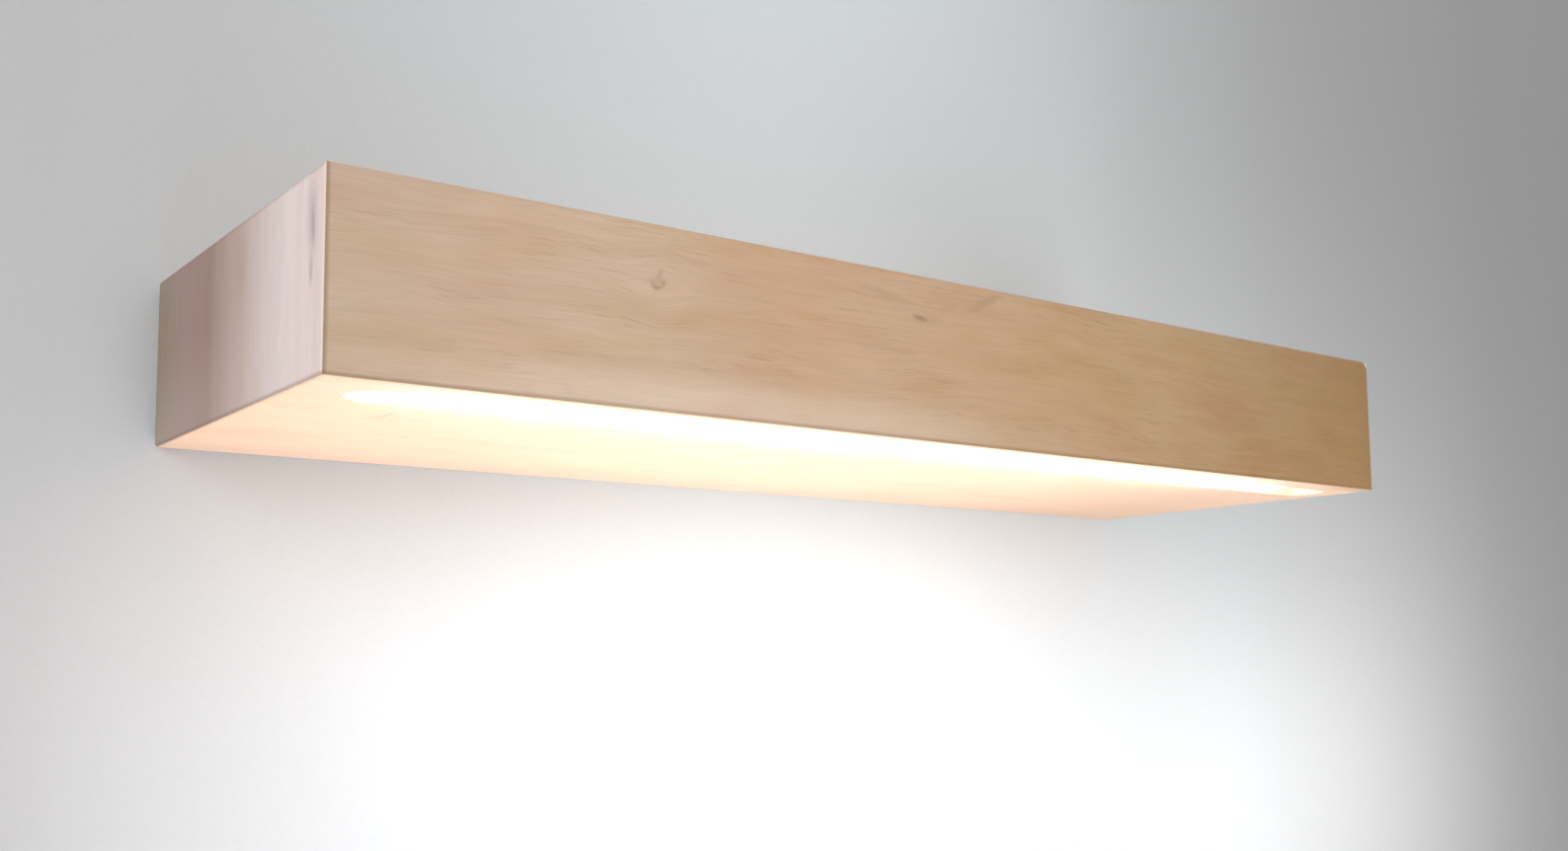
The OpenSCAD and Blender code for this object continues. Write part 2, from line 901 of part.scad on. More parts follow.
module led_chips() {
    color("#FFE9A8")
        translate([slot_offset, slot_y, strip_bottom - chip_h / 2])
            for (i = [0:chips_n - 1])
                translate([(i - (chips_n - 1) / 2) * chip_pitch, 0, 0])
                    cube([chip_l, chip_w, chip_h], center = true);
}

module diffuser() {
    clip_half = diffuser_half + clip_d;
    color("#FFF6E4")
        translate([slot_offset, 0, 0])
            along_x(channel_l)
                translate([slot_y, 0])
                    polygon([
                        [-diffuser_half, channel_bottom], [diffuser_half, channel_bottom],
                        [diffuser_half, clip_low], [clip_half, clip_low],
                        [clip_half, clip_low + clip_h], [diffuser_half, clip_low + clip_h],
                        [diffuser_half, diffuser_top], [-diffuser_half, diffuser_top],
                        [-diffuser_half, clip_low + clip_h], [-clip_half, clip_low + clip_h],
                        [-clip_half, clip_low], [-diffuser_half, clip_low]
                    ]);
}

module lead_bush() {
    color("#3A3A3C")
        translate([lead_x, slot_y, 0])
            union() {
                ring(bush_d, bush_bore_d, channel_floor_z, floor_z);
                ring(bush_flange_d, bush_bore_d, floor_z, floor_z + bush_flange_t);
            }
}

module led_lead() {
    color("#E8E6E0")
        lead(led_lead_path, led_lead_d, 8);
}

// ---- Driver ----

module driver_screw_places() {
    for (side_x = [-1, 1])
        translate([side_x * (driver_l + driver_ear_l) / 2, driver_y, floor_z + driver_ear_t])
            children();
}

module driver_post_places() {
    for (side_x = [-1, 1], side_y = [-1, 1])
        translate([side_x * driver_post_x, driver_y + side_y * driver_post_y, 0])
            children();
}

// The lead's hole through each end wall of the case, each given as a side and a lead diameter
module driver_lead_holes() {
    for (end = [[-1, led_lead_d], [1, mains_lead_d]])
        translate([end[0] * driver_l / 2, driver_y, lead_z])
            rotate([0, 90, 0])
                cylinder(d = end[1] + 2 * loose_clear, h = 2 * driver_post_d, center = true);
}

module driver_case() {
    floor_top = floor_z + driver_wall;
    cavity_l = driver_l - 2 * driver_wall;
    cavity_w = driver_w - 2 * driver_wall;
    color("#E4E3DF")
        difference() {
            union() {
                difference() {
                    translate([-driver_l / 2, driver_y - driver_w / 2, floor_z])
                        cube([driver_l, driver_w, driver_h - driver_wall]);
                    translate([-cavity_l / 2, driver_y - cavity_w / 2, floor_top])
                        cube([cavity_l, cavity_w, driver_h]);
                }
                for (side_x = [-1, 1])
                    translate([side_x * (driver_l + driver_ear_l) / 2, driver_y, floor_z])
                        translate([-driver_ear_l / 2, -driver_ear_l / 2, 0])
                            cube([driver_ear_l, driver_ear_l, driver_ear_t]);
                driver_post_places()
                    translate([0, 0, floor_z + driver_wall / 2])
                        cylinder(d = driver_post_d, h = driver_lid_z - floor_z - driver_wall / 2);
                for (side_x = [-1, 1], side_y = [-1, 1])
                    translate([side_x * circuit_post_x, driver_y + side_y * circuit_post_y, floor_z])
                        cylinder(d = circuit_post_d, h = driver_wall + circuit_rise);
            }
            driver_lead_holes();
            driver_screw_places()
                screw_hole(fixing_screw);
            driver_cover_screw_places()
                screw_hole(cover_screw);
        }
}

module driver_cover_screw_places() {
    driver_post_places()
        translate([0, 0, floor_z + driver_h])
            children();
}

module driver_cover() {
    lip_l = driver_l - 2 * driver_wall - 2 * loose_clear;
    lip_w = driver_w - 2 * driver_wall - 2 * loose_clear;
    color("#EEEDE9")
        difference() {
            union() {
                translate([-driver_l / 2, driver_y - driver_w / 2, driver_lid_z])
                    cube([driver_l, driver_w, driver_wall]);
                translate([-lip_l / 2, driver_y - lip_w / 2, driver_lid_z - driver_lip_h])
                    cube([lip_l, lip_w, driver_lip_h]);
            }
            translate([0, driver_y, driver_lid_z - over])
                linear_extrude(over)
                    square([lip_l - 2 * driver_wall, lip_w - 2 * driver_wall], center = true);
            driver_post_places()
                translate([0, 0, driver_lid_z - over])
                    cylinder(d = driver_post_d + 2 * loose_clear, h = over);
            driver_cover_screw_places()
                screw_hole(cover_screw);
        }
}

module driver_cover_screws() {
    color("#B9BBBD")
        driver_cover_screw_places()
            wood_screw(cover_screw);
}

module driver_fixing_screws() {
    color("#B9BBBD")
        driver_screw_places()
            wood_screw(fixing_screw);
}

module driver_board() {
    color("#3F7A4B")
        translate([-circuit_l / 2, driver_y - circuit_w / 2, circuit_z])
            cube([circuit_l, circuit_w, circuit_t]);
}

module driver_connectors() {
    color("#E9E7DC")
        for (side_x = [-1, 1])
            translate([side_x * connector_x, driver_y, circuit_top + connector_size.z / 2])
                cube(connector_size, center = true);
}

module transformer_core() {
    window_x = (core_size.x - core_leg_w) / 2 - core_side_w;
    color("#4A4A4C")
        translate([core_x, driver_y, circuit_top])
            difference() {
                translate([-core_size.x / 2, -core_size.y / 2, 0])
                    cube(core_size);
                for (side_x = [-1, 1])
                    translate([side_x * (core_leg_w + window_x) / 2, 0, core_size.z / 2])
                        cube([window_x, core_size.y - 2 * core_yoke_w, core_size.z + over], center = true);
            }
}

module transformer_winding() {
    window_x = (core_size.x - core_leg_w) / 2 - core_side_w;
    outer_x = core_leg_w + 2 * (window_x - winding_gap);
    outer_y = core_size.y - 2 * core_yoke_w - 2 * winding_gap;
    color("#C9812F")
        translate([core_x, driver_y, circuit_top + core_size.z / 2])
            for (side_x = [-1, 1])
                translate([side_x * (core_leg_w + window_x) / 2, 0, 0])
                    cube([window_x - 2 * winding_gap, outer_y, core_size.z], center = true);
}

module driver_capacitors() {
    color("#2F3E63")
        for (at = capacitor_at)
            translate([at.x, driver_y + at.y, circuit_top])
                cylinder(d = capacitor_d, h = capacitor_h);
}

module driver_choke() {
    color("#B5722C")
        translate([choke_at.x, driver_y + choke_at.y, circuit_top + choke_wire_r])
            rotate_extrude()
                translate([choke_ring_r, 0])
                    circle(choke_wire_r);
}

// ---- Terminal block ----

module terminal_poles() {
    for (i = [0:poles - 1])
        translate([terminal_x + (i - (poles - 1) / 2) * pole_pitch, terminal_y, 0])
            children();
}

module terminal_screw_places() {
    for (side_x = [-1, 1])
        translate([terminal_x + side_x * pole_pitch / 2, terminal_y, floor_z + terminal_h])
            children();
}

module terminal_block() {
    color("#F0EFEA")
        difference() {
            translate([terminal_x - terminal_w / 2, terminal_front, floor_z])
                cube([terminal_w, terminal_l, terminal_h]);
            terminal_poles()
                translate([0, 0, terminal_wire_z])
                    rotate([90, 0, 0]) {
                        cylinder(d = clamp_d + 2 * seat_clear, h = clamp_l + 2 * seat_clear, center = true);
                        cylinder(d = clamp_bore_d, h = terminal_l + over, center = true);
                    }
            terminal_poles()
                for (side_y = [-1, 1])
                    translate([0, side_y * clamp_screw_y, terminal_wire_z])
                        cylinder(d = clamp_well_d, h = terminal_h);
            terminal_screw_places()
                screw_hole(terminal_fixing);
        }
}

module terminal_clamps() {
    color("#C9A24B")
        terminal_poles()
            difference() {
                translate([0, 0, terminal_wire_z])
                    rotate([90, 0, 0])
                        difference() {
                            cylinder(d = clamp_d, h = clamp_l, center = true);
                            cylinder(d = clamp_bore_d, h = clamp_l + over, center = true);
                        }
                for (side_y = [-1, 1])
                    translate([0, side_y * clamp_screw_y, terminal_wire_z])
                        cylinder(d = clamp_screw_d + 2 * seat_clear, h = clamp_d);
            }
}

module terminal_screws() {
    color("#B9BBBD")
        terminal_poles()
            for (side_y = [-1, 1])
                translate([0, side_y * clamp_screw_y, terminal_wire_z])
                    difference() {
                        union() {
                            translate([0, 0, clamp_bore_d / 4])
                                cylinder(d = clamp_screw_d, h = clamp_d);
                            translate([0, 0, clamp_bore_d / 4 + clamp_d])
                                cylinder(d = clamp_head_d, h = clamp_head_h);
                        }
                        translate([0, 0, clamp_bore_d / 4 + clamp_d + clamp_head_h])
                            cube([clamp_head_d + over, driver_slot_t, clamp_head_h], center = true);
                    }
}

module terminal_fixing_screws() {
    color("#B9BBBD")
        terminal_screw_places()
            wood_screw(terminal_fixing);
}

module mains_lead() {
    color("#F2F1ED")
        lead(mains_lead_path, mains_lead_d, 10);
}

bracket_plate();
bracket_rods();
bracket_grommet();
earth_screw();
earth_washer();
top_board();
bottom_board();
front_board();
left_end_board();
right_end_board();
front_tongues();
end_tongues();
upright_tongues();
corner_blocks();
left_rod_block();
right_rod_block();
back_panel();
back_panel_screws();
panel_grommet();
led_channel();
channel_end_caps();
channel_screws();
led_strip();
led_chips();
diffuser();
lead_bush();
led_lead();
driver_case();
driver_cover();
driver_cover_screws();
driver_fixing_screws();
driver_board();
driver_connectors();
transformer_core();
transformer_winding();
driver_capacitors();
driver_choke();
terminal_block();
terminal_clamps();
terminal_screws();
terminal_fixing_screws();
mains_lead();
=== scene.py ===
"""Looks of the wall lamp with shelf: finishes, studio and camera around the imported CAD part.

X runs along the wall, Y into the wall, whose face is Y = 0, and Z up. Lengths are metres, apart
from the patterns of the finishes, which are worked out in millimetres.
"""

import logging
import math
from abc import ABC, abstractmethod
from dataclasses import dataclass, field
from enum import Enum

import bpy
from bpy.types import Material, Node, NodeSocket, NodeTree, Object
from mathutils import Matrix, Vector

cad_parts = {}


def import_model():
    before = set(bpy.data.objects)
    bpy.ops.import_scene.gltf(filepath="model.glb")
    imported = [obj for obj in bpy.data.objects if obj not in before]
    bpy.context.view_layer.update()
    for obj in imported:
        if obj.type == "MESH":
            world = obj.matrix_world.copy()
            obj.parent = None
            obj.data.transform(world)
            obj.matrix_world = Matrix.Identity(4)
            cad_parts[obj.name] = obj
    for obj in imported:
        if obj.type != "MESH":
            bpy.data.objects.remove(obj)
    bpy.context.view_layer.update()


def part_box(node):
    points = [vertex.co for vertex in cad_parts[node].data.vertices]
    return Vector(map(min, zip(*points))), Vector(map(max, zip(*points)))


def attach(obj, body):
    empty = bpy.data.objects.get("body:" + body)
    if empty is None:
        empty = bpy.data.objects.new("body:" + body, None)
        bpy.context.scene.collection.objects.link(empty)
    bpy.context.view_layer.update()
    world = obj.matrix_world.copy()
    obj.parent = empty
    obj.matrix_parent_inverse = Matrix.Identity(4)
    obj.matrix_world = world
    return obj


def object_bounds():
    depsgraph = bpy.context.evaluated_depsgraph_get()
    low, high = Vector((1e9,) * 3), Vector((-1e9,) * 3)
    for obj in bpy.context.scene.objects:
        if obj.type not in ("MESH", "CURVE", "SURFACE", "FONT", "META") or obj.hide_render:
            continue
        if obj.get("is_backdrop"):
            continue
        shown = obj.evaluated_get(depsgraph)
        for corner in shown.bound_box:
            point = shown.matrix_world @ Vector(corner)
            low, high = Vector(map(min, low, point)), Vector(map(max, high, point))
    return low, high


LOG = logging.getLogger("wall_lamp")
MM = 0.001
MM_PER_M = 1000.0
IMAGE_SIZE = (1588, 862)
# The sRGB curve is straight near black, and then a power of the value with an offset.
SRGB_STRAIGHT_END, SRGB_STRAIGHT_SLOPE = 0.04045, 12.92
SRGB_OFFSET, SRGB_POWER = 0.055, 2.4
# Middle of the box, which the lamps face.
SHELF_MIDDLE = (0.0, -0.1, 0.0)
# A colour's stops along an axis, each a share of the span and a hex colour.
Stops = tuple[tuple[float, str], ...]
# A wave texture of scale 1 repeats after this many units, which is 2 pi / 20.
WAVE_REPEAT = 0.314


def linear(code: str, alpha: float = 1.0) -> tuple[float, float, float, float]:
    """Turn an sRGB hex colour into the linear values that a node takes.

    Args:
        code: The colour, such as "#D9BC9C".
        alpha: Its opacity.

    Returns:
        Linear red, green, blue and alpha.
    """
    parts = [int(code[i : i + 2], 16) / 255 for i in (1, 3, 5)]
    red, green, blue = (
        part / SRGB_STRAIGHT_SLOPE
        if part <= SRGB_STRAIGHT_END
        else ((part + SRGB_OFFSET) / (1 + SRGB_OFFSET)) ** SRGB_POWER
        for part in parts
    )
    return red, green, blue, alpha


def add(tree: NodeTree, kind: str, links: dict | None = None, **settings) -> Node:
    """Add a node with its settings and its inputs.

    Args:
        tree: The material's node tree.
        kind: The node's type, such as "ShaderNodeMath".
        links: Inputs by name or number. A socket or node is linked, and a value is set.
        **settings: The node's own settings, such as operation="ADD".

    Returns:
        The new node.
    """
    node = tree.nodes.new(kind)
    for name, value in settings.items():
        setattr(node, name, value)
    for key, value in (links or {}).items():
        if isinstance(value, Node):
            value = value.outputs[0]
        if isinstance(value, NodeSocket):
            tree.links.new(value, node.inputs[key])
        else:
            node.inputs[key].default_value = value
    return node


class Grain(Enum):
    """The axis of the shelf that a board's fibres follow."""

    ALONG = 0
    UPRIGHT = 2


@dataclass(frozen=True)
class Finish(ABC):
    """A real material and how its surface was made.

    A finish's RELIEF is the strength and the depth in millimetres of its relief, and its
    GLOSS_REACH how far its roughness falls and rises over its pattern. A ..._RANGE is the stretch
    of a noise over which a pattern comes in.

    Attributes:
        name: The material's name in the file.
        roughness: Roughness of the surface, from 0 to 1.
    """

    name: str
    roughness: float = 0.5

    def make(self) -> Material:
        """Build the material, or return it where it is already made.

        Returns:
            The material.
        """
        known = bpy.data.materials.get(self.name)
        if known:
            return known
        material = bpy.data.materials.new(self.name)
        material.use_nodes = True
        tree = material.node_tree
        shader = tree.nodes["Principled BSDF"]
        shader.inputs["Roughness"].default_value = self.roughness
        place = add(tree, "ShaderNodeTexCoord").outputs["Object"]
        millimetres = add(
            tree, "ShaderNodeVectorMath", {0: place, "Scale": MM_PER_M}, operation="SCALE"
        )
        self.paint(tree, shader, millimetres.outputs[0])
        return material

    def ramp(
        self,
        tree: NodeTree,
        value: NodeSocket,
        span: tuple[float, float],
        stops: Stops,
    ) -> Node:
        """Let a colour drift along an axis.

        Args:
            tree: The material's node tree.
            value: The point's place along the axis, in millimetres.
            span: The places of the ramp's two ends, in millimetres.
            stops: The ramp's stops.

        Returns:
            A node with the colour.
        """
        first, last = span
        share = add(
            tree, "ShaderNodeMapRange", {"Value": value, "From Min": first, "From Max": last}
        )
        node = add(tree, "ShaderNodeValToRGB", {0: share})
        node.color_ramp.interpolation = "CARDINAL"
        elements = node.color_ramp.elements
        while len(elements) < len(stops):
            elements.new(0.5)
        for element, (place, code) in zip(elements, stops):
            element.position = place
            element.color = linear(code)
        return node

    def lay(
        self,
        tree: NodeTree,
        shader: Node,
        colour: Node,
        height: Node | NodeSocket,
        relief: tuple[float, float],
    ) -> None:
        """Link a colour and a relief to the shader.

        Args:
            tree: The material's node tree.
            shader: Its Principled BSDF.
            colour: The surface's colour.
            height: The pattern that stands out of the surface.
            relief: The relief's strength, and its depth in millimetres.
        """
        strength, depth_mm = relief
        bump = add(
            tree,
            "ShaderNodeBump",
            {"Strength": strength, "Distance": depth_mm * MM, "Height": height},
        )
        tree.links.new(colour.outputs[0], shader.inputs["Base Color"])
        tree.links.new(bump.outputs[0], shader.inputs["Normal"])

    def vary_gloss(
        self, tree: NodeTree, shader: Node, pattern: NodeSocket, reach: tuple[float, float]
    ) -> None:
        """Let a pattern make the surface glossier in places and duller in others.

        Args:
            tree: The material's node tree.
            shader: Its Principled BSDF.
            pattern: The pattern, from 0 to 1.
            reach: How far the roughness falls where the pattern is 0, and rises where it is 1.
        """
        less, more = reach
        gloss = add(
            tree,
            "ShaderNodeMapRange",
            {"Value": pattern, "To Min": self.roughness - less, "To Max": self.roughness + more},
        )
        tree.links.new(gloss.outputs[0], shader.inputs["Roughness"])

    @abstractmethod
    def paint(self, tree: NodeTree, shader: Node, place: NodeSocket) -> None:
        """Give the shader its colour, gloss and relief.

        Args:
            tree: The material's node tree.
            shader: Its Principled BSDF.
            place: The point on the part, in millimetres.
        """


class Side(Enum):
    """A side of the box, as an axis and the end of it."""

    LEFT = (0, -1)
    RIGHT = (0, 1)
    FRONT = (1, -1)
    REAR = (1, 1)
    BOTTOM = (2, -1)
    TOP = (2, 1)


@dataclass(frozen=True)
class Mark:
    """A mark in a board's face: a pin knot, a streak, a scrape, a paler patch or painted shade.
    Lengths in millimetres.

    Attributes:
        along: Its place along the face's first axis.
        up: Its place along the face's second axis.
        length: Half its length.
        height: Half its height.
        turn: How far it is turned from the first axis, in degrees.
        bow: How far its ends curl up.
        colour: Hex colour of the mark.
        strength: How strongly it covers the wood.
        knot: Whether the grain runs round it.
    """

    along: float
    up: float
    length: float
    height: float
    turn: float = 0.0
    bow: float = 0.0
    colour: str = "#8A6446"
    strength: float = 0.4
    knot: bool = False


@dataclass(frozen=True)
class Arris:
    """An edge of the box with a band of colour along it, for wax browning, for a painted highlight
    and for painted shade.

    Attributes:
        sides: The two sides that meet there.
        colour: Hex colour of the edge.
        width: How far the colour reaches from the edge, in millimetres.
        strength: How strongly it covers the wood.
    """

    sides: tuple[Side, Side]
    colour: str = "#86694E"
    width: float = 2.2
    strength: float = 0.5


@dataclass(frozen=True)
class Pattern:
    """A pattern in the wood that is drawn out along the grain.

    Attributes:
        along: Its size along the grain, in millimetres.
        across: Its size across the grain, in millimetres.
        detail: How many finer layers it has.
        offset: Shifts it away from the other patterns.
    """

    along: float
    across: float
    detail: float
    offset: float


@dataclass(frozen=True)
class WaxedHardwood(Finish):
    """Alder, planed, sanded and waxed: pale and even, with faint rings, pink and straw-coloured
    clouds, short dark dashes along the grain and edges that the wax has browned. Some tones and
    edge bands are painted light and painted shade.

    Attributes:
        grain: The axis that the fibres follow.
        face: The two axes of the board's outer face.
        tones: The colour along the tone axis: the wood's tone, with painted shade on some boards.
        tone_axis: The axis along which the tone drifts.
        tone_span: The first and last place of the stops, in millimetres.
        figure: How strongly clouds, rings and dashes show.
        marks: Knots, streaks and scrapes in the face.
        arrises: Edges with a colour band: wax browning, painted highlights and painted shade.
        seed: Shifts the figure, so that no two boards match.
    """

    grain: Grain = Grain.ALONG
    face: tuple[int, int] = (0, 2)
    tones: Stops = ((0.0, "#DCC2A2"), (1.0, "#CFAB85"))
    tone_axis: int = 0
    tone_span: tuple[float, float] = (-300.0, 300.0)
    figure: float = 1.0
    marks: tuple[Mark, ...] = ()
    arrises: tuple[Arris, ...] = ()
    seed: float = 0.0

    # Alder's own fibres are too fine to show, so they are drawn half a millimetre wide.
    FIBRES = Pattern(24.0, 0.55, 3.0, 3.0)
    STREAKS = Pattern(42.0, 2.0, 2.0, 41.0)
    LINES_RANGE = (0.3, 0.7)
    # How far lines darken the wood, and how far they pale it.
    LINES_SHADE = (0.05, 0.04)
    # How strongly each finer layer of a pattern shows.
    LAYER_SHARE = 0.55

    DASHES = Pattern(12.0, 0.7, 1.0, 17.0)
    DASHES_RANGE = (0.55, 0.74)
    DASH_GROUPS = Pattern(60.0, 11.0, 2.0, 29.0)
    DASH_GROUPS_RANGE = (0.4, 0.64)
    DASHES_SHADE = 0.17

    CLOUDS = Pattern(75.0, 19.0, 3.0, 5.0)
    # Each cloud's colour, and the noise at which it starts and is full.
    CLOUD_COLOURS = (("#F6CDBB", 0.5, 0.72), ("#F0E2B4", 0.5, 0.28))
    CLOUDS_STRENGTH = 0.4

    # Distance between rings. Only the upper part of each wave is coloured.
    RING_MM = 6.5
    RING_COLOUR = "#B98D66"
    RING_STRENGTH = 0.09
    RING_START = -0.2
    PITH_MM = (0.0, 60.0, 26.0)
    # The trunk's axis is nearly parallel to the grain, so rings run out slowly along it.
    PITH_SLOPE = 0.02

    WANDER = Pattern(130.0, 45.0, 2.0, 11.0)
    WANDER_REACH_MM = 16.0
    # How far round a knot the grain bends, in knots, and how strongly.
    KNOT_REACH = 5.0
    KNOT_PULL = -0.6

    # Where a mark starts and where it is full, as shares of its size from its middle.
    MARK_RIM = (1.3, 0.2)
    # Where an edge's colour is full.
    ARRIS_CORE_MM = 0.5
    RELIEF = (0.3, 0.1)
    GLOSS_REACH = (0.08, 0.1)
    WAX_WEIGHT = 0.12
    WAX_ROUGHNESS = 0.4

    def paint(self, tree: NodeTree, shader: Node, place: NodeSocket) -> None:
        """Lay clouds, rings, fibres and dashes over the tone, which holds painted shade on some
        boards, then marks and edges.

        Args:
            tree: The material's node tree.
            shader: Its Principled BSDF.
            place: The point on the part, in millimetres.
        """
        axes = add(tree, "ShaderNodeSeparateXYZ", {0: place})
        bent = self.bend(tree, place, axes)
        fibres = self.noise(tree, bent, self.FIBRES)
        dashes = self.dashes(tree, bent)
        shade = dashes
        low, high = self.LINES_RANGE
        darker, paler = self.LINES_SHADE
        for lines in (fibres, self.noise(tree, bent, self.STREAKS)):
            tone = add(
                tree,
                "ShaderNodeMapRange",
                {"Value": lines, "From Min": low, "From Max": high,
                 "To Min": 1 - darker * self.figure, "To Max": 1 + paler * self.figure},
            )
            shade = add(tree, "ShaderNodeMath", {0: shade, 1: tone}, operation="MULTIPLY")
        tone = self.ramp(tree, axes.outputs[self.tone_axis], self.tone_span, self.tones)
        colour = self.rings(tree, bent, self.clouds(tree, bent, tone))
        colour = add(
            tree,
            "ShaderNodeMixRGB",
            {"Fac": 1.0, "Color1": colour, "Color2": shade},
            blend_type="MULTIPLY",
        )
        for mark in self.marks:
            colour = self.draw_mark(tree, axes, colour, mark)
        for arris in self.arrises:
            colour = self.draw_arris(tree, axes, colour, arris)

        height = add(tree, "ShaderNodeMath", {0: fibres, 1: dashes}, operation="MULTIPLY")
        self.lay(tree, shader, colour, height, self.RELIEF)
        self.vary_gloss(tree, shader, fibres, self.GLOSS_REACH)
        shader.inputs["Coat Weight"].default_value = self.WAX_WEIGHT
        shader.inputs["Coat Roughness"].default_value = self.WAX_ROUGHNESS

    def noise(self, tree: NodeTree, place: Node | NodeSocket, pattern: Pattern) -> NodeSocket:
        """Draw noise out along the grain.

        Args:
            tree: The material's node tree.
            place: The point, in millimetres.
            pattern: The pattern that it makes.

        Returns:
            The noise, from 0 to 1.
        """
        scales = [1 / pattern.across] * 3
        scales[self.grain.value] = 1 / pattern.along
        spread = add(
            tree,
            "ShaderNodeVectorMath",
            {0: place, 1: scales, 2: [pattern.offset + self.seed] * 3},
            operation="MULTIPLY_ADD",
        )
        return add(
            tree,
            "ShaderNodeTexNoise",
            {"Vector": spread, "Scale": 1.0, "Detail": pattern.detail,
             "Roughness": self.LAYER_SHARE},
        ).outputs["Fac"]

    def bend(self, tree: NodeTree, place: NodeSocket, axes: Node) -> Node:
        """Let the grain wander, and lead it round the knots.

        Args:
            tree: The material's node tree.
            place: The point, in millimetres.
            axes: Its X, Y and Z.

        Returns:
            The point after the grain is straightened.
        """
        across = 2 if self.grain is Grain.ALONG else 1
        wander = self.noise(tree, place, self.WANDER)
        height = add(
            tree,
            "ShaderNodeMath",
            {0: wander, 1: self.WANDER_REACH_MM, 2: axes.outputs[across]},
            operation="MULTIPLY_ADD",
        )
        for knot in (mark for mark in self.marks if mark.knot):
            away = self.away_from(tree, axes, knot, self.KNOT_REACH)
            near = add(
                tree,
                "ShaderNodeMapRange",
                {"Value": away, "From Min": 1.0, "From Max": 0.0, "To Max": self.KNOT_PULL},
                interpolation_type="SMOOTHSTEP",
            )
            rise = add(
                tree,
                "ShaderNodeMath",
                {0: axes.outputs[across], 1: knot.up},
                operation="SUBTRACT",
            )
            height = add(
                tree, "ShaderNodeMath", {0: rise, 1: near, 2: height}, operation="MULTIPLY_ADD"
            )
        parts = [axes.outputs[i] for i in range(3)]
        parts[across] = height
        return add(tree, "ShaderNodeCombineXYZ", dict(enumerate(parts)))

    def clouds(self, tree: NodeTree, bent: Node, colour: Node) -> Node:
        """Lay pink and straw-coloured clouds over the wood.

        Args:
            tree: The material's node tree.
            bent: The point after the grain is straightened.
            colour: The colour so far.

        Returns:
            A node with the colour.
        """
        cloud = self.noise(tree, bent, self.CLOUDS)
        strength = self.CLOUDS_STRENGTH * self.figure
        for code, start, full in self.CLOUD_COLOURS:
            share = add(
                tree,
                "ShaderNodeMapRange",
                {"Value": cloud, "From Min": start, "From Max": full, "To Max": strength},
            )
            colour = add(
                tree,
                "ShaderNodeMixRGB",
                {"Fac": share, "Color1": colour, "Color2": linear(code)},
                blend_type="MULTIPLY",
            )
        return colour

    def rings(self, tree: NodeTree, bent: Node, colour: Node) -> Node:
        """Draw faint growth rings round a pith that lies behind the board.

        Args:
            tree: The material's node tree.
            bent: The point after the grain is straightened.
            colour: The colour so far.

        Returns:
            A node with the colour.
        """
        slope = [1.0, 1.0, 1.0]
        slope[self.grain.value] = self.PITH_SLOPE
        centred = add(
            tree,
            "ShaderNodeVectorMath",
            {0: bent, 1: slope, 2: self.PITH_MM},
            operation="MULTIPLY_ADD",
        )
        radius = add(tree, "ShaderNodeVectorMath", {0: centred}, operation="LENGTH")
        turns = add(
            tree,
            "ShaderNodeMath",
            {0: radius.outputs["Value"], 1: 2 * math.pi / self.RING_MM},
            operation="MULTIPLY",
        )
        wave = add(tree, "ShaderNodeMath", {0: turns}, operation="SINE")
        share = add(
            tree,
            "ShaderNodeMapRange",
            {"Value": wave, "From Min": self.RING_START, "From Max": 1.0,
             "To Max": self.RING_STRENGTH * self.figure},
        )
        return add(
            tree,
            "ShaderNodeMixRGB",
            {"Fac": share, "Color1": colour, "Color2": linear(self.RING_COLOUR)},
        )

    def dashes(self, tree: NodeTree, bent: Node) -> Node:
        """Draw short dark dashes along the grain, in loose groups.

        Args:
            tree: The material's node tree.
            bent: The point after the grain is straightened.

        Returns:
            A node with a factor for the colour.
        """
        dash, group = (
            add(
                tree,
                "ShaderNodeMapRange",
                {"Value": self.noise(tree, bent, pattern), "From Min": low, "From Max": high},
            )
            for pattern, (low, high) in (
                (self.DASHES, self.DASHES_RANGE), (self.DASH_GROUPS, self.DASH_GROUPS_RANGE),
            )
        )
        both = add(tree, "ShaderNodeMath", {0: dash, 1: group}, operation="MULTIPLY")
        return add(
            tree,
            "ShaderNodeMapRange",
            {"Value": both, "To Min": 1.0, "To Max": 1 - self.DASHES_SHADE * self.figure},
        )

    def away_from(
        self, tree: NodeTree, axes: Node, mark: Mark, reach: float = 1.0
    ) -> NodeSocket:
        """Measure how far the point lies from a mark.

        Args:
            tree: The material's node tree.
            axes: The point's X, Y and Z, in millimetres.
            mark: The mark.
            reach: Enlarges the mark.

        Returns:
            The distance, which is 1 at the mark's rim.
        """
        flat = add(
            tree, "ShaderNodeCombineXYZ", {i: axes.outputs[a] for i, a in enumerate(self.face)}
        )
        turned = add(
            tree,
            "ShaderNodeVectorRotate",
            {"Vector": flat, "Center": (mark.along, mark.up, 0.0),
             "Angle": -math.radians(mark.turn)},
            rotation_type="Z_AXIS",
        )
        size = (1 / (reach * mark.length), 1 / (reach * mark.height), 0.0)
        shift = (-mark.along * size[0], -mark.up * size[1], 0.0)
        local = add(
            tree,
            "ShaderNodeVectorMath",
            {0: turned, 1: size, 2: shift},
            operation="MULTIPLY_ADD",
        )
        parts = add(tree, "ShaderNodeSeparateXYZ", {0: local})
        run = add(tree, "ShaderNodeMath", {0: parts.outputs[0], 1: 2.0}, operation="POWER")
        rise = add(
            tree,
            "ShaderNodeMath",
            {0: run, 1: -mark.bow / mark.height, 2: parts.outputs[1]},
            operation="MULTIPLY_ADD",
        )
        pair = add(tree, "ShaderNodeCombineXYZ", {0: parts.outputs[0], 1: rise})
        return add(tree, "ShaderNodeVectorMath", {0: pair}, operation="LENGTH").outputs["Value"]

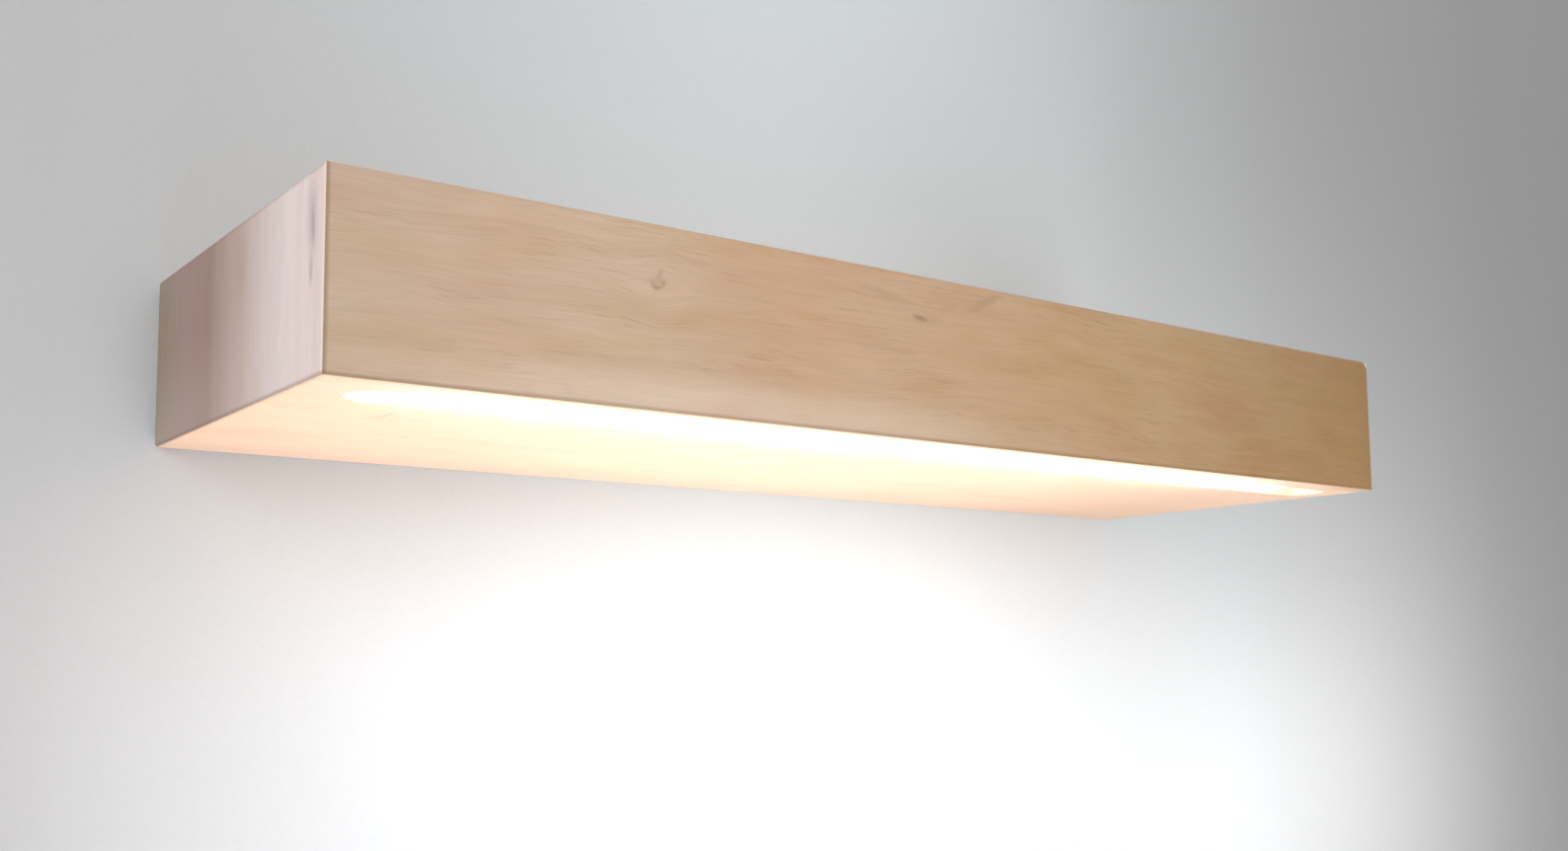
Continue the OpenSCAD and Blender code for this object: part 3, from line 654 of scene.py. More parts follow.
    def draw_mark(self, tree: NodeTree, axes: Node, colour: Node, mark: Mark) -> Node:
        """Draw a mark with a soft rim.

        Args:
            tree: The material's node tree.
            axes: The point's X, Y and Z, in millimetres.
            colour: The colour so far.
            mark: The mark.

        Returns:
            A node with the colour.
        """
        rim, core = self.MARK_RIM
        share = add(
            tree,
            "ShaderNodeMapRange",
            {"Value": self.away_from(tree, axes, mark), "From Min": rim, "From Max": core,
             "To Max": mark.strength},
            interpolation_type="SMOOTHSTEP",
        )
        return add(
            tree,
            "ShaderNodeMixRGB",
            {"Fac": share, "Color1": colour, "Color2": linear(mark.colour)},
        )

    def draw_arris(self, tree: NodeTree, axes: Node, colour: Node, arris: Arris) -> Node:
        """Colour an edge of the box.

        Args:
            tree: The material's node tree.
            axes: The point's X, Y and Z, in millimetres.
            colour: The colour so far.
            arris: The edge.

        Returns:
            A node with the colour.
        """
        corners = [corner * MM_PER_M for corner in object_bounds()]
        insets = []
        for side in arris.sides:
            axis, end = side.value
            limit = corners[end > 0][axis]
            inset = add(
                tree,
                "ShaderNodeMath",
                {0: axes.outputs[axis], 1: -end, 2: end * limit},
                operation="MULTIPLY_ADD",
            )
            insets.append(inset)
        pair = add(tree, "ShaderNodeCombineXYZ", dict(enumerate(insets)))
        distance = add(tree, "ShaderNodeVectorMath", {0: pair}, operation="LENGTH")
        share = add(
            tree,
            "ShaderNodeMapRange",
            {"Value": distance.outputs["Value"], "From Min": arris.width,
             "From Max": self.ARRIS_CORE_MM, "To Max": arris.strength},
            interpolation_type="SMOOTHSTEP",
        )
        return add(
            tree,
            "ShaderNodeMixRGB",
            {"Fac": share, "Color1": colour, "Color2": linear(arris.colour)},
        )


@dataclass(frozen=True)
class SawnWood(Finish):
    """Wood straight from the saw or the press: straight grain with fine marks across it.

    Attributes:
        pale: Hex colour of the light grain.
        dark: Hex colour of the dark grain.
        line_mm: Distance between grain lines, in millimetres.
        axis: The axis that the lines are counted along, 0 to 2.
    """

    pale: str = "#D8BE96"
    dark: str = "#B18F62"
    line_mm: float = 2.2
    axis: int = 2

    # How far the grain lines waver, with how many finer layers, and how closely.
    WAVER = 2.5
    WAVER_DETAIL = 3.0
    WAVER_SCALE = 0.12
    # Shortest and longest size of the saw's marks.
    SAW_MARK_MM = (0.25, 2.0)
    SAW_MARK_DETAIL = 2.0
    RELIEF = (0.4, 0.15)

    def paint(self, tree: NodeTree, shader: Node, place: NodeSocket) -> None:
        """Give the shader its colour, gloss and relief.

        Args:
            tree: The material's node tree.
            shader: Its Principled BSDF.
            place: The point on the part, in millimetres.
        """
        lines = add(
            tree,
            "ShaderNodeTexWave",
            {"Vector": place, "Scale": WAVE_REPEAT / self.line_mm, "Distortion": self.WAVER,
             "Detail": self.WAVER_DETAIL, "Detail Scale": self.WAVER_SCALE},
            bands_direction="XYZ"[self.axis],
        )
        short, long = self.SAW_MARK_MM
        stretch = [1 / long] * 3
        stretch[(self.axis + 1) % 3] = 1 / short
        stretched = add(
            tree, "ShaderNodeVectorMath", {0: place, 1: stretch}, operation="MULTIPLY"
        )
        marks = add(
            tree,
            "ShaderNodeTexNoise",
            {"Vector": stretched, "Scale": 1.0, "Detail": self.SAW_MARK_DETAIL},
        )
        colour = add(
            tree,
            "ShaderNodeMixRGB",
            {"Fac": lines.outputs["Fac"], "Color1": linear(self.pale),
             "Color2": linear(self.dark)},
        )
        self.lay(tree, shader, colour, marks.outputs["Fac"], self.RELIEF)


@dataclass(frozen=True)
class DrawnMetal(Finish):
    """Metal with fine lines along the way it was drawn, rolled or brushed.

    Attributes:
        bright: Hex colour of the metal.
        dull: Hex colour in its dull lines and stains.
        line_mm: Distance between the lines, in millimetres.
        axis: The axis that the lines follow, 0 to 2.
        stain_mm: Size of the uneven patches, in millimetres.
    """

    bright: str = "#C4C6C8"
    dull: str = "#9A9DA0"
    line_mm: float = 0.4
    axis: int = 0
    stain_mm: float = 12.0

    # How many times longer than wide a line is.
    LINE_STRETCH = 60
    LINE_DETAIL = 2.0
    STAIN_DETAIL = 4.0
    DULL_RANGE = (0.12, 0.4)
    RELIEF = (0.25, 0.03)
    GLOSS_REACH = (0.1, 0.12)

    def paint(self, tree: NodeTree, shader: Node, place: NodeSocket) -> None:
        """Give the shader its colour, gloss and relief.

        Args:
            tree: The material's node tree.
            shader: Its Principled BSDF.
            place: The point on the part, in millimetres.
        """
        stretch = [1 / self.line_mm] * 3
        stretch[self.axis] = 1 / (self.LINE_STRETCH * self.line_mm)
        drawn = add(tree, "ShaderNodeVectorMath", {0: place, 1: stretch}, operation="MULTIPLY")
        lines = add(
            tree,
            "ShaderNodeTexNoise",
            {"Vector": drawn, "Scale": 1.0, "Detail": self.LINE_DETAIL},
        ).outputs["Fac"]
        stains = add(
            tree,
            "ShaderNodeTexNoise",
            {"Vector": place, "Scale": 1 / self.stain_mm, "Detail": self.STAIN_DETAIL},
        ).outputs["Fac"]
        both = add(tree, "ShaderNodeMath", {0: lines, 1: stains}, operation="MULTIPLY")
        low, high = self.DULL_RANGE
        share = add(
            tree, "ShaderNodeMapRange", {"Value": both, "From Min": low, "From Max": high}
        )
        colour = add(
            tree,
            "ShaderNodeMixRGB",
            {"Fac": share, "Color1": linear(self.dull), "Color2": linear(self.bright)},
        )
        self.lay(tree, shader, colour, lines, self.RELIEF)
        self.vary_gloss(tree, shader, lines, self.GLOSS_REACH)
        shader.inputs["Metallic"].default_value = 1.0


@dataclass(frozen=True)
class Moulded(Finish):
    """Plastic or rubber from a spark-eroded mould: one colour with a fine, dull grain.

    Attributes:
        colour: Hex colour of the plastic.
        grain_mm: Size of the mould's grain, in millimetres.
        depth_mm: Depth of the grain, in millimetres.
        glow: Hex colour of the light that the piece gives, or nothing.
        strength: Strength of that light.
    """

    colour: str = "#E4E3DF"
    grain_mm: float = 0.35
    depth_mm: float = 0.04
    glow: str | None = None
    strength: float = 0.0

    # A flow mark about every 17 mm, and how far it darkens the plastic.
    FLOW_PER_MM = 0.06
    FLOW_DETAIL = 3.0
    FLOW_RANGE = (0.3, 0.7)
    FLOW_SHADE = 0.92
    GRAIN_STRENGTH = 0.4
    GRAIN_DETAIL = 1.0
    GLOSS_REACH = (0.06, 0.06)

    def paint(self, tree: NodeTree, shader: Node, place: NodeSocket) -> None:
        """Give the shader its colour, gloss and relief.

        Args:
            tree: The material's node tree.
            shader: Its Principled BSDF.
            place: The point on the part, in millimetres.
        """
        flow = add(
            tree,
            "ShaderNodeTexNoise",
            {"Vector": place, "Scale": self.FLOW_PER_MM, "Detail": self.FLOW_DETAIL},
        ).outputs["Fac"]
        low, high = self.FLOW_RANGE
        shade = add(
            tree,
            "ShaderNodeMapRange",
            {"Value": flow, "From Min": low, "From Max": high, "To Min": self.FLOW_SHADE},
        )
        colour = add(
            tree,
            "ShaderNodeMixRGB",
            {"Fac": 1.0, "Color1": linear(self.colour), "Color2": shade},
            blend_type="MULTIPLY",
        )
        grain = add(
            tree,
            "ShaderNodeTexNoise",
            {"Vector": place, "Scale": 1 / self.grain_mm, "Detail": self.GRAIN_DETAIL},
        ).outputs["Fac"]
        self.lay(tree, shader, colour, grain, (self.GRAIN_STRENGTH, self.depth_mm))
        self.vary_gloss(tree, shader, flow, self.GLOSS_REACH)
        if self.glow:
            shader.inputs["Emission Color"].default_value = linear(self.glow)
            shader.inputs["Emission Strength"].default_value = self.strength


@dataclass(frozen=True)
class WoundWire(Finish):
    """Enamelled copper wire in close turns: brown-orange, glossy, with a groove between turns.

    Attributes:
        wire_mm: Thickness of the wire, in millimetres.
        axis: The axis that the turns are counted along, 0 to 2.
        groove: Hex colour between the turns.
        enamel: Hex colour of the wire.
    """

    wire_mm: float = 0.5
    axis: int = 2
    groove: str = "#6E3415"
    enamel: str = "#C97A3C"

    # Turns are never quite straight.
    WAVER = 0.4
    RELIEF = (0.7, 0.2)
    # Clear enamel over copper takes away a part of the metal's look.
    METALLIC = 0.7
    ENAMEL_WEIGHT = 0.6

    def paint(self, tree: NodeTree, shader: Node, place: NodeSocket) -> None:
        """Give the shader its colour, gloss and relief.

        Args:
            tree: The material's node tree.
            shader: Its Principled BSDF.
            place: The point on the part, in millimetres.
        """
        turns = add(
            tree,
            "ShaderNodeTexWave",
            {"Vector": place, "Scale": WAVE_REPEAT / self.wire_mm, "Distortion": self.WAVER},
            bands_direction="XYZ"[self.axis],
        ).outputs["Fac"]
        colour = add(
            tree,
            "ShaderNodeMixRGB",
            {"Fac": turns, "Color1": linear(self.groove), "Color2": linear(self.enamel)},
        )
        self.lay(tree, shader, colour, turns, self.RELIEF)
        shader.inputs["Metallic"].default_value = self.METALLIC
        shader.inputs["Coat Weight"].default_value = self.ENAMEL_WEIGHT


@dataclass(frozen=True)
class CircuitLaminate(Finish):
    """Glass laminate under green lacquer, with broad pale tracks that show through it.

    Attributes:
        track_mm: Distance between gaps in the tracks, in millimetres.
        gap: Hex colour of the lacquer over the gaps.
        track: Hex colour of the lacquer over the copper.
    """

    track_mm: float = 6.0
    gap: str = "#12391F"
    track: str = "#2F7A45"

    GAP_RANGE = (0.05, 0.08)
    RELIEF = (0.3, 0.05)
    LACQUER_WEIGHT = 0.5

    def paint(self, tree: NodeTree, shader: Node, place: NodeSocket) -> None:
        """Give the shader its colour, gloss and relief.

        Args:
            tree: The material's node tree.
            shader: Its Principled BSDF.
            place: The point on the part, in millimetres.
        """
        cells = add(
            tree,
            "ShaderNodeTexVoronoi",
            {"Vector": place, "Scale": 1 / self.track_mm},
            feature="DISTANCE_TO_EDGE",
            distance="EUCLIDEAN",
        )
        low, high = self.GAP_RANGE
        copper = add(
            tree,
            "ShaderNodeMapRange",
            {"Value": cells.outputs["Distance"], "From Min": low, "From Max": high},
        )
        colour = add(
            tree,
            "ShaderNodeMixRGB",
            {"Fac": copper, "Color1": linear(self.gap), "Color2": linear(self.track)},
        )
        self.lay(tree, shader, colour, copper, self.RELIEF)
        shader.inputs["Coat Weight"].default_value = self.LACQUER_WEIGHT


# Zinc-plated steel: bright blue-grey, with small dull patches.
ZINC_SCREW = DrawnMetal("steel_zinc_plated_screw", roughness=0.35, stain_mm=4.0)
# Turned brass: warm yellow, with small brown patches.
BRASS = DrawnMetal("brass_turned", bright="#D9B566", dull="#B08A3F", roughness=0.3, stain_mm=5.0)
# Moulded rubber: black, and too dull to reflect.
BLACK_RUBBER = Moulded("rubber_moulded_black", colour="#2A2A2C", roughness=0.7)
# Extruded PVC: off-white and smooth.
LEAD_SHEATH = Moulded("pvc_extruded_sheath", colour="#EAE8E2", roughness=0.5)


def dress(finish: Finish, *nodes: str) -> None:
    """Give CAD nodes their finish.

    Args:
        finish: The finish.
        *nodes: Names of the nodes.
    """
    material = finish.make()
    for name in nodes:
        piece = bpy.data.objects[name]
        if not piece.material_slots:
            piece.data.materials.append(material)
        for slot in piece.material_slots:
            slot.material = material
        LOG.info("%s: %s", name, finish.name)


@dataclass(frozen=True)
class SoftLamp:
    """A soft rectangular lamp that is not seen itself.

    Attributes:
        name: Its name.
        place: Its place, in metres.
        aim: The point that it faces.
        size: Its width and height, in metres.
        power: Its power, in watts.
        colour: Hex colour of its light.
        spread: How wide its beam is, in degrees.
    """

    name: str
    place: Vector | tuple[float, float, float]
    aim: Vector | tuple[float, float, float]
    size: tuple[float, float]
    power: float
    colour: str = "#FFFFFF"
    spread: float = 180.0

    def build(self) -> Object:
        """Put the lamp into the scene.

        Returns:
            The lamp.
        """
        data = bpy.data.lights.new(self.name, "AREA")
        data.shape = "RECTANGLE"
        data.size, data.size_y = self.size
        data.energy = self.power
        data.spread = math.radians(self.spread)
        data.color = linear(self.colour)[:3]
        lamp = bpy.data.objects.new(self.name, data)
        lamp.location = self.place
        facing = Vector(self.aim) - Vector(self.place)
        lamp.rotation_euler = facing.to_track_quat("-Z", "Y").to_euler()
        lamp.visible_camera = False
        lamp.visible_glossy = False
        bpy.context.scene.collection.objects.link(lamp)
        LOG.info("%s: %.2f W", self.name, self.power)
        return lamp


@dataclass
class ShelfBox:
    """The hollow box: five hardwood boards, their tongues and blocks, and the back panel.

    Attributes:
        front_tones_and_shade: The front board's colour from its left end to its right end, with
            painted shade to the right.
        underside_tones: The bottom board's colour from the front to the wall.
        end_tones_and_shade: The end boards' colour from the front to the wall, with painted shade
            towards the wall.
        depth_span: The front and the wall as places along Y, in millimetres.
        front_marks: The front board's paler lower left, and its two pin knots with their streaks.
        end_marks: The left end board's mauve streaks near its front edge, and two brown ones.
        underside_marks: The scrape near the slot's left tip, and painted shade over the right corner
            and end.
    """

    # The wood's tone, with painted shade that darkens it towards the right end.
    front_tones_and_shade: Stops = (
        (0.0, "#CEB59D"),
        (0.1, "#D4B59B"),
        (0.2, "#D8BBA1"),
        (0.3, "#D4B08E"),
        (0.4, "#D5B290"),
        (0.6, "#CBA780"),
        (0.75, "#C09E74"),
        (1.0, "#A27E4D"),
    )
    underside_tones: Stops = (
        (0.0, "#EAC9AC"),
        (0.8, "#E2BEA2"),
        (1.0, "#D6B9A4"),
    )
    # The wood's staves, with painted shade that darkens them towards the wall.
    end_tones_and_shade: Stops = (
        (0.0, "#F4DFDA"),
        (0.2, "#EFE0DC"),
        (0.38, "#D5C0BA"),
        (0.52, "#BBA096"),
        (0.59, "#AE9186"),
        (0.62, "#A18479"),
        (0.8, "#A4877D"),
        (1.0, "#968872"),
    )
    depth_span: tuple[float, float] = (-200.0, 0.0)
    front_marks: tuple[Mark, ...] = (
        Mark(-125.0, -31.0, 170.0, 11.0, colour="#F6E2CF", strength=0.42),
        Mark(-170.4, 13.0, 4.6, 4.0, strength=0.16, knot=True),
        Mark(-171.2, 11.4, 3.6, 1.1, turn=-12.0, bow=2.4, strength=0.36),
        Mark(-167.9, 13.6, 1.3, 1.2, strength=0.32),
        Mark(-169.4, 17.2, 2.6, 1.1, turn=72.0, strength=0.24),
        Mark(-37.5, 17.4, 4.6, 1.5, turn=-8.0, strength=0.5, knot=True),
        Mark(-58.0, 25.5, 18.0, 2.4, turn=-10.0, strength=0.18),
        Mark(-32.0, 17.0, 9.0, 2.6, strength=0.16),
        Mark(2.0, 29.2, 15.0, 2.8, turn=25.0, colour="#8F7A4C", strength=0.26),
    )
    end_marks: tuple[Mark, ...] = (
        Mark(-188.5, 20.0, 5.5, 17.0, turn=-3.0, colour="#A58A96", strength=0.38),
        Mark(-189.4, 17.0, 1.8, 8.0, turn=-6.0, colour="#8A6F7E", strength=0.38),
        Mark(-188.2, 1.0, 2.0, 6.0, colour="#937A8A", strength=0.38),
        Mark(-112.0, 20.0, 9.0, 14.0, colour="#B08478", strength=0.22),
        Mark(-72.0, 0.0, 3.0, 34.0, colour="#94705F", strength=0.2),
    )
    underside_marks: tuple[Mark, ...] = (
        Mark(-251.5, -134.0, 13.0, 1.1, turn=97.0, bow=3.0, colour="#9C7358", strength=0.4),
        # Painted shade over the right front corner and the right end, where the bar's light falls
        # off.
        Mark(292.0, -198.0, 34.0, 9.0, colour="#A5805F", strength=0.6),
        Mark(300.0, -100.0, 150.0, 130.0, colour="#C29A7E", strength=0.5),
    )

    def dress(self) -> None:
        """Give every board, block and fixing of the box its finish."""
        self.dress_long_boards()
        self.dress_ends()
        # Planed beech: pink-brown, with close straight lines.
        dress(
            SawnWood("beech_planed_tongue", pale="#D3AE80", dark="#B98C5C", line_mm=1.2),
            "front_tongues",
            "end_tongues",
            "upright_tongues",
        )
        # Pine straight from the saw: yellow and rough, with broad lines.
        dress(
            SawnWood("pine_sawn_block", roughness=0.75, line_mm=3.0),
            "corner_blocks",
            "left_rod_block",
            "right_rod_block",
        )
        # Sanded birch plywood: cream, with wide, faint waves.
        dress(
            SawnWood("birch_plywood_sanded", pale="#DFCAA3", dark="#D3BA8F", line_mm=11.0),
            "back_panel",
        )
        dress(ZINC_SCREW, "back_panel_screws")
        dress(BLACK_RUBBER, "panel_grommet")

    def dress_long_boards(self) -> None:
        """Give the front, the top and the bottom board their finish."""
        # The front faces the room: honey-coloured and even, and browner to the right, partly the
        # wood's tone and partly painted shade.
        dress(
            WaxedHardwood(
                "alder_waxed_front",
                tones=self.front_tones_and_shade,
                marks=self.front_marks,
                arrises=(
                    # Dark lines along the left and the bottom edge: wax browning, with painted shade
                    # where the rounded edge turns from the light.
                    Arris((Side.LEFT, Side.FRONT), colour="#7D6A52", width=2.4, strength=0.7),
                    Arris((Side.FRONT, Side.BOTTOM), colour="#7C6042", width=2.4, strength=0.55),
                    Arris((Side.FRONT, Side.TOP), colour="#A68F8C", width=1.8, strength=0.5),
                    # A broad band of painted shade along the front's right end.
                    Arris((Side.FRONT, Side.RIGHT), colour="#9A7442", width=16.0, strength=0.35),
                ),
            ),
            "front_board",
        )
        # The top has the wood's plain tone, with long grain and no marks.
        dress(WaxedHardwood("alder_waxed_top", face=(0, 1), seed=40.0), "top_board")
        # The underside is pinker and calmer, with a brown scrape near the slot.
        dress(
            WaxedHardwood(
                "alder_waxed_underside",
                face=(0, 1),
                tones=self.underside_tones,
                tone_axis=1,
                tone_span=self.depth_span,
                figure=0.7,
                marks=self.underside_marks,
                seed=80.0,
            ),
            "bottom_board",
        )

    def dress_ends(self) -> None:
        """Give the two end boards their finish."""
        for side, marks, seed in (
            (Side.LEFT, self.end_marks, 120.0), (Side.RIGHT, (), 160.0),
        ):
            # The ends' grain stands upright: pale pink in front, grey-brown towards the wall, partly
            # the wood's tone and partly painted shade.
            finish = WaxedHardwood(
                f"alder_waxed_{side.name.lower()}_end",
                grain=Grain.UPRIGHT,
                face=(1, 2),
                tones=self.end_tones_and_shade,
                tone_axis=1,
                tone_span=self.depth_span,
                figure=0.55,
                marks=marks,
                arrises=(
                    # A broad pale band of painted light from below, along the bottom edge.
                    Arris((side, Side.BOTTOM), colour="#F6E4DC", width=45.0, strength=0.12),
                    Arris((side, Side.TOP), colour="#8C7A74", width=2.6, strength=0.5),
                    Arris((side, Side.REAR), colour="#8C7A74", width=3.0, strength=0.4),
                    # A pale line of painted highlight along the rounded front edge.
                    Arris((side, Side.FRONT), colour="#F4DACB", width=2.0, strength=0.8),
                    # A dark line along the bottom edge: wax browning, with painted shade where the
                    # edge turns from the light.
                    Arris((side, Side.BOTTOM), colour="#7B5D50", width=2.4, strength=0.6),
                ),
                seed=seed,
            )
            dress(finish, f"{side.name.lower()}_end_board")


@dataclass
class LightBar:
    """The LED bar in its slot, and the soft light that the room throws back at the underside.

    Attributes:
        glow: Hex colour of the light through the diffuser.
        strength: Strength of that light.
        cap_strength: Strength of the light that the end caps let through.
        chip_strength: Strength of the light of the chips themselves.
        halo_drop: How far the lamp for the light beside the slot hangs below the underside.
        halo_shift: How far it lies to the left and in front of the bar's middle.
        halo_width: Its width.
        halo_power: Its power, in watts.
        bounce_drop: How far the lamp for the light from below hangs below the underside.
        bounce_size: Its length along the wall and its width.
        bounce_shift: Its place along X from the bar's middle.
        bounce_power: Its power, in watts.
        bounce_spread: How wide its beam is, in degrees.
    """

    glow: str = "#F3F7FF"
    strength: float = 17.0
    cap_strength: float = 25.0
    chip_strength: float = 5.0
    halo_drop: float = 18 * MM
    halo_shift: tuple[float, float] = (22 * MM, 5 * MM)
    halo_width: float = 12 * MM
    halo_power: float = 0.13
    bounce_drop: float = 0.3
    bounce_size: tuple[float, float] = (0.5, 0.24)
    bounce_shift: float = -0.1
    bounce_power: float = 0.85
    bounce_spread: float = 115.0

    def dress(self) -> None:
        """Give the bar, its strip and its lead their finish."""
        # Anodised aluminium: pale grey and silky, with fine lines along the bar.
        dress(
            DrawnMetal("aluminium_extruded_anodised", roughness=0.38, axis=0, line_mm=0.3),
            "led_channel",
        )
        # Milky polycarbonate: it lets the light through at the bar's ends.
        dress(
            Moulded(
                "polycarbonate_moulded_end_cap",
                roughness=0.4,
                colour="#EDEBE4",
                glow=self.glow,
                strength=self.cap_strength,
            ),
            "channel_end_caps",
        )
        dress(ZINC_SCREW, "channel_screws")
        # A white coat on the flexible board: clean, and slightly glossy.
        dress(
            Moulded("polyimide_white_coated", roughness=0.45, colour="#F3F1E8", grain_mm=1.5),
            "led_strip",
        )
        # Clear silicone over yellow phosphor: glossy and lit.
        dress(
            Moulded(
                "silicone_over_phosphor",
                roughness=0.2,
                colour="#F6D56A",
                grain_mm=0.2,
                glow=self.glow,
                strength=self.chip_strength,
            ),
            "led_chips",
        )
        # Opal acrylic: one even white glow that hides the chips.
        dress(
            Moulded(
                "acrylic_opal_extruded",
                roughness=0.35,
                colour="#F8F5EE",
                grain_mm=0.6,
                depth_mm=0.01,
                glow=self.glow,
                strength=self.strength,
            ),
            "diffuser",
        )
        # Black nylon: dull, with a fine grain.
        dress(Moulded("nylon_moulded_black", colour="#2E2E30"), "lead_bush")
        dress(LEAD_SHEATH, "led_lead")
        self.build_lamps()

    def build_lamps(self) -> None:
        """Hang two soft lamps under the shelf, which move with it."""
        bar_low, bar_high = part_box("diffuser")
        box_low, box_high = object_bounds()
        bar, box = (bar_low + bar_high) / 2, (box_low + box_high) / 2
        upwards = Vector((0.0, 0.0, 1.0))
        left, front = self.halo_shift
        halo = Vector((bar.x - left, bar.y - front, box_low.z - self.halo_drop))
        halo_size = (bar_high.x - bar_low.x, self.halo_width)
        bounce = Vector((bar.x + self.bounce_shift, box.y, box_low.z - self.bounce_drop))
        for lamp in (
            SoftLamp("halo_lamp", halo, halo + upwards, halo_size, self.halo_power, self.glow),
            SoftLamp(
                "bounce_lamp",
                bounce,
                bounce + upwards,
                self.bounce_size,
                self.bounce_power,
                spread=self.bounce_spread,
            ),
        ):
            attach(lamp.build(), "shelf")


@dataclass
class Driver:
    """The LED driver on the floor of the box."""

    def dress(self) -> None:
        """Give the case, the cover and the parts on the circuit board their finish."""
        # Textured ABS: off-white and dull.
        dress(Moulded("abs_moulded_textured", roughness=0.55), "driver_case", "driver_cover")
        dress(ZINC_SCREW, "driver_cover_screws", "driver_fixing_screws")
        # Lacquer over glass laminate: glossy green, darker in the gaps between the tracks.
        dress(CircuitLaminate("glass_laminate_lacquered", roughness=0.35), "driver_board")
        # Moulded nylon: ivory, with a low shine.
        dress(
            Moulded("nylon_moulded_ivory", colour="#E9E7DC", roughness=0.45),
            "driver_connectors",
        )
        # Sintered ferrite: dark grey and chalky.
        dress(
            Moulded("ferrite_sintered", colour="#3F4042", roughness=0.6, grain_mm=0.25),
            "transformer_core",
        )
        # Enamelled copper: glossy orange-brown turns with dark grooves, thicker on the choke.
        dress(WoundWire("copper_enamelled_winding", roughness=0.3), "transformer_winding")
        dress(WoundWire("copper_enamelled_choke", roughness=0.3, wire_mm=0.8), "driver_choke")
        # Shrunk PVC sleeves: dark blue and glossy.
        dress(
            Moulded("pvc_shrunk_sleeve", colour="#27365C", roughness=0.25, grain_mm=3.0),
            "driver_capacitors",
        )


@dataclass
class TerminalBlock:
    """The supply's terminal block and the lead from it to the driver."""

    def dress(self) -> None:
        """Give the block, its clamps and screws, and its lead their finish."""
        # Moulded polyamide: clean white, a little glossy.
        dress(
            Moulded("polyamide_moulded_terminal", colour="#F1F0EA", roughness=0.4),
            "terminal_block",
        )
        dress(BRASS, "terminal_clamps")
        dress(ZINC_SCREW, "terminal_screws", "terminal_fixing_screws")
        dress(LEAD_SHEATH, "mains_lead")


@dataclass
class WallBracket:
    """The hidden steel bracket that the shelf slides onto."""

    def dress(self) -> None:
        """Give the plate, its rods and its small parts their finish."""
        # Rolled steel under zinc: mottled grey with a low shine.
        dress(
            DrawnMetal("steel_rolled_zinc_plated", roughness=0.42, axis=0, line_mm=0.8),
            "bracket_plate",
        )
        # Bright drawn steel: smoother and brighter, with lines along the rods.
        dress(
            DrawnMetal("steel_drawn_bright", bright="#CFD1D2", roughness=0.25, axis=1),
            "bracket_rods",
        )
        dress(BLACK_RUBBER, "bracket_grommet")
        dress(BRASS, "earth_screw")
        dress(ZINC_SCREW, "earth_washer")


@dataclass(frozen=True)
class RolledPaint(Finish):
    """Matt emulsion put on with a roller: pale grey with a fine stipple.

    Attributes:
        tones: The paint's colour along X; on the wall these tones are painted light and shade.
        tone_span: The first and last place of the stops, in millimetres.
        stipple_mm: Size of the roller's stipple, in millimetres.
    """

    tones: Stops = ((0.0, "#D2D1CF"), (1.0, "#CFCECC"))
    tone_span: tuple[float, float] = (-400.0, 900.0)
    stipple_mm: float = 2.5

    STIPPLE_DETAIL = 2.0
    STIPPLE_SHADE = 0.03
    # Chalky: emulsion shines less than bare plastic.
    SPECULAR = 0.2

    def paint(self, tree: NodeTree, shader: Node, place: NodeSocket) -> None:
        """Give the shader its colour, gloss and relief.

        Args:
            tree: The material's node tree.
            shader: Its Principled BSDF.
            place: The point on the part, in millimetres.
        """
        stipple = add(
            tree,
            "ShaderNodeTexNoise",
            {"Vector": place, "Scale": 1 / self.stipple_mm, "Detail": self.STIPPLE_DETAIL},
        ).outputs["Fac"]
        shade = add(
            tree,
            "ShaderNodeMapRange",
            {"Value": stipple, "To Min": 1 - self.STIPPLE_SHADE, "To Max": 1 + self.STIPPLE_SHADE},
        )
        axes = add(tree, "ShaderNodeSeparateXYZ", {0: place})
        tone = self.ramp(tree, axes.outputs[0], self.tone_span, self.tones)
        colour = add(
            tree,
            "ShaderNodeMixRGB",
            {"Fac": 1.0, "Color1": tone, "Color2": shade},
            blend_type="MULTIPLY",
        )
        tree.links.new(colour.outputs[0], shader.inputs["Base Color"])
        shader.inputs["Specular IOR Level"].default_value = self.SPECULAR


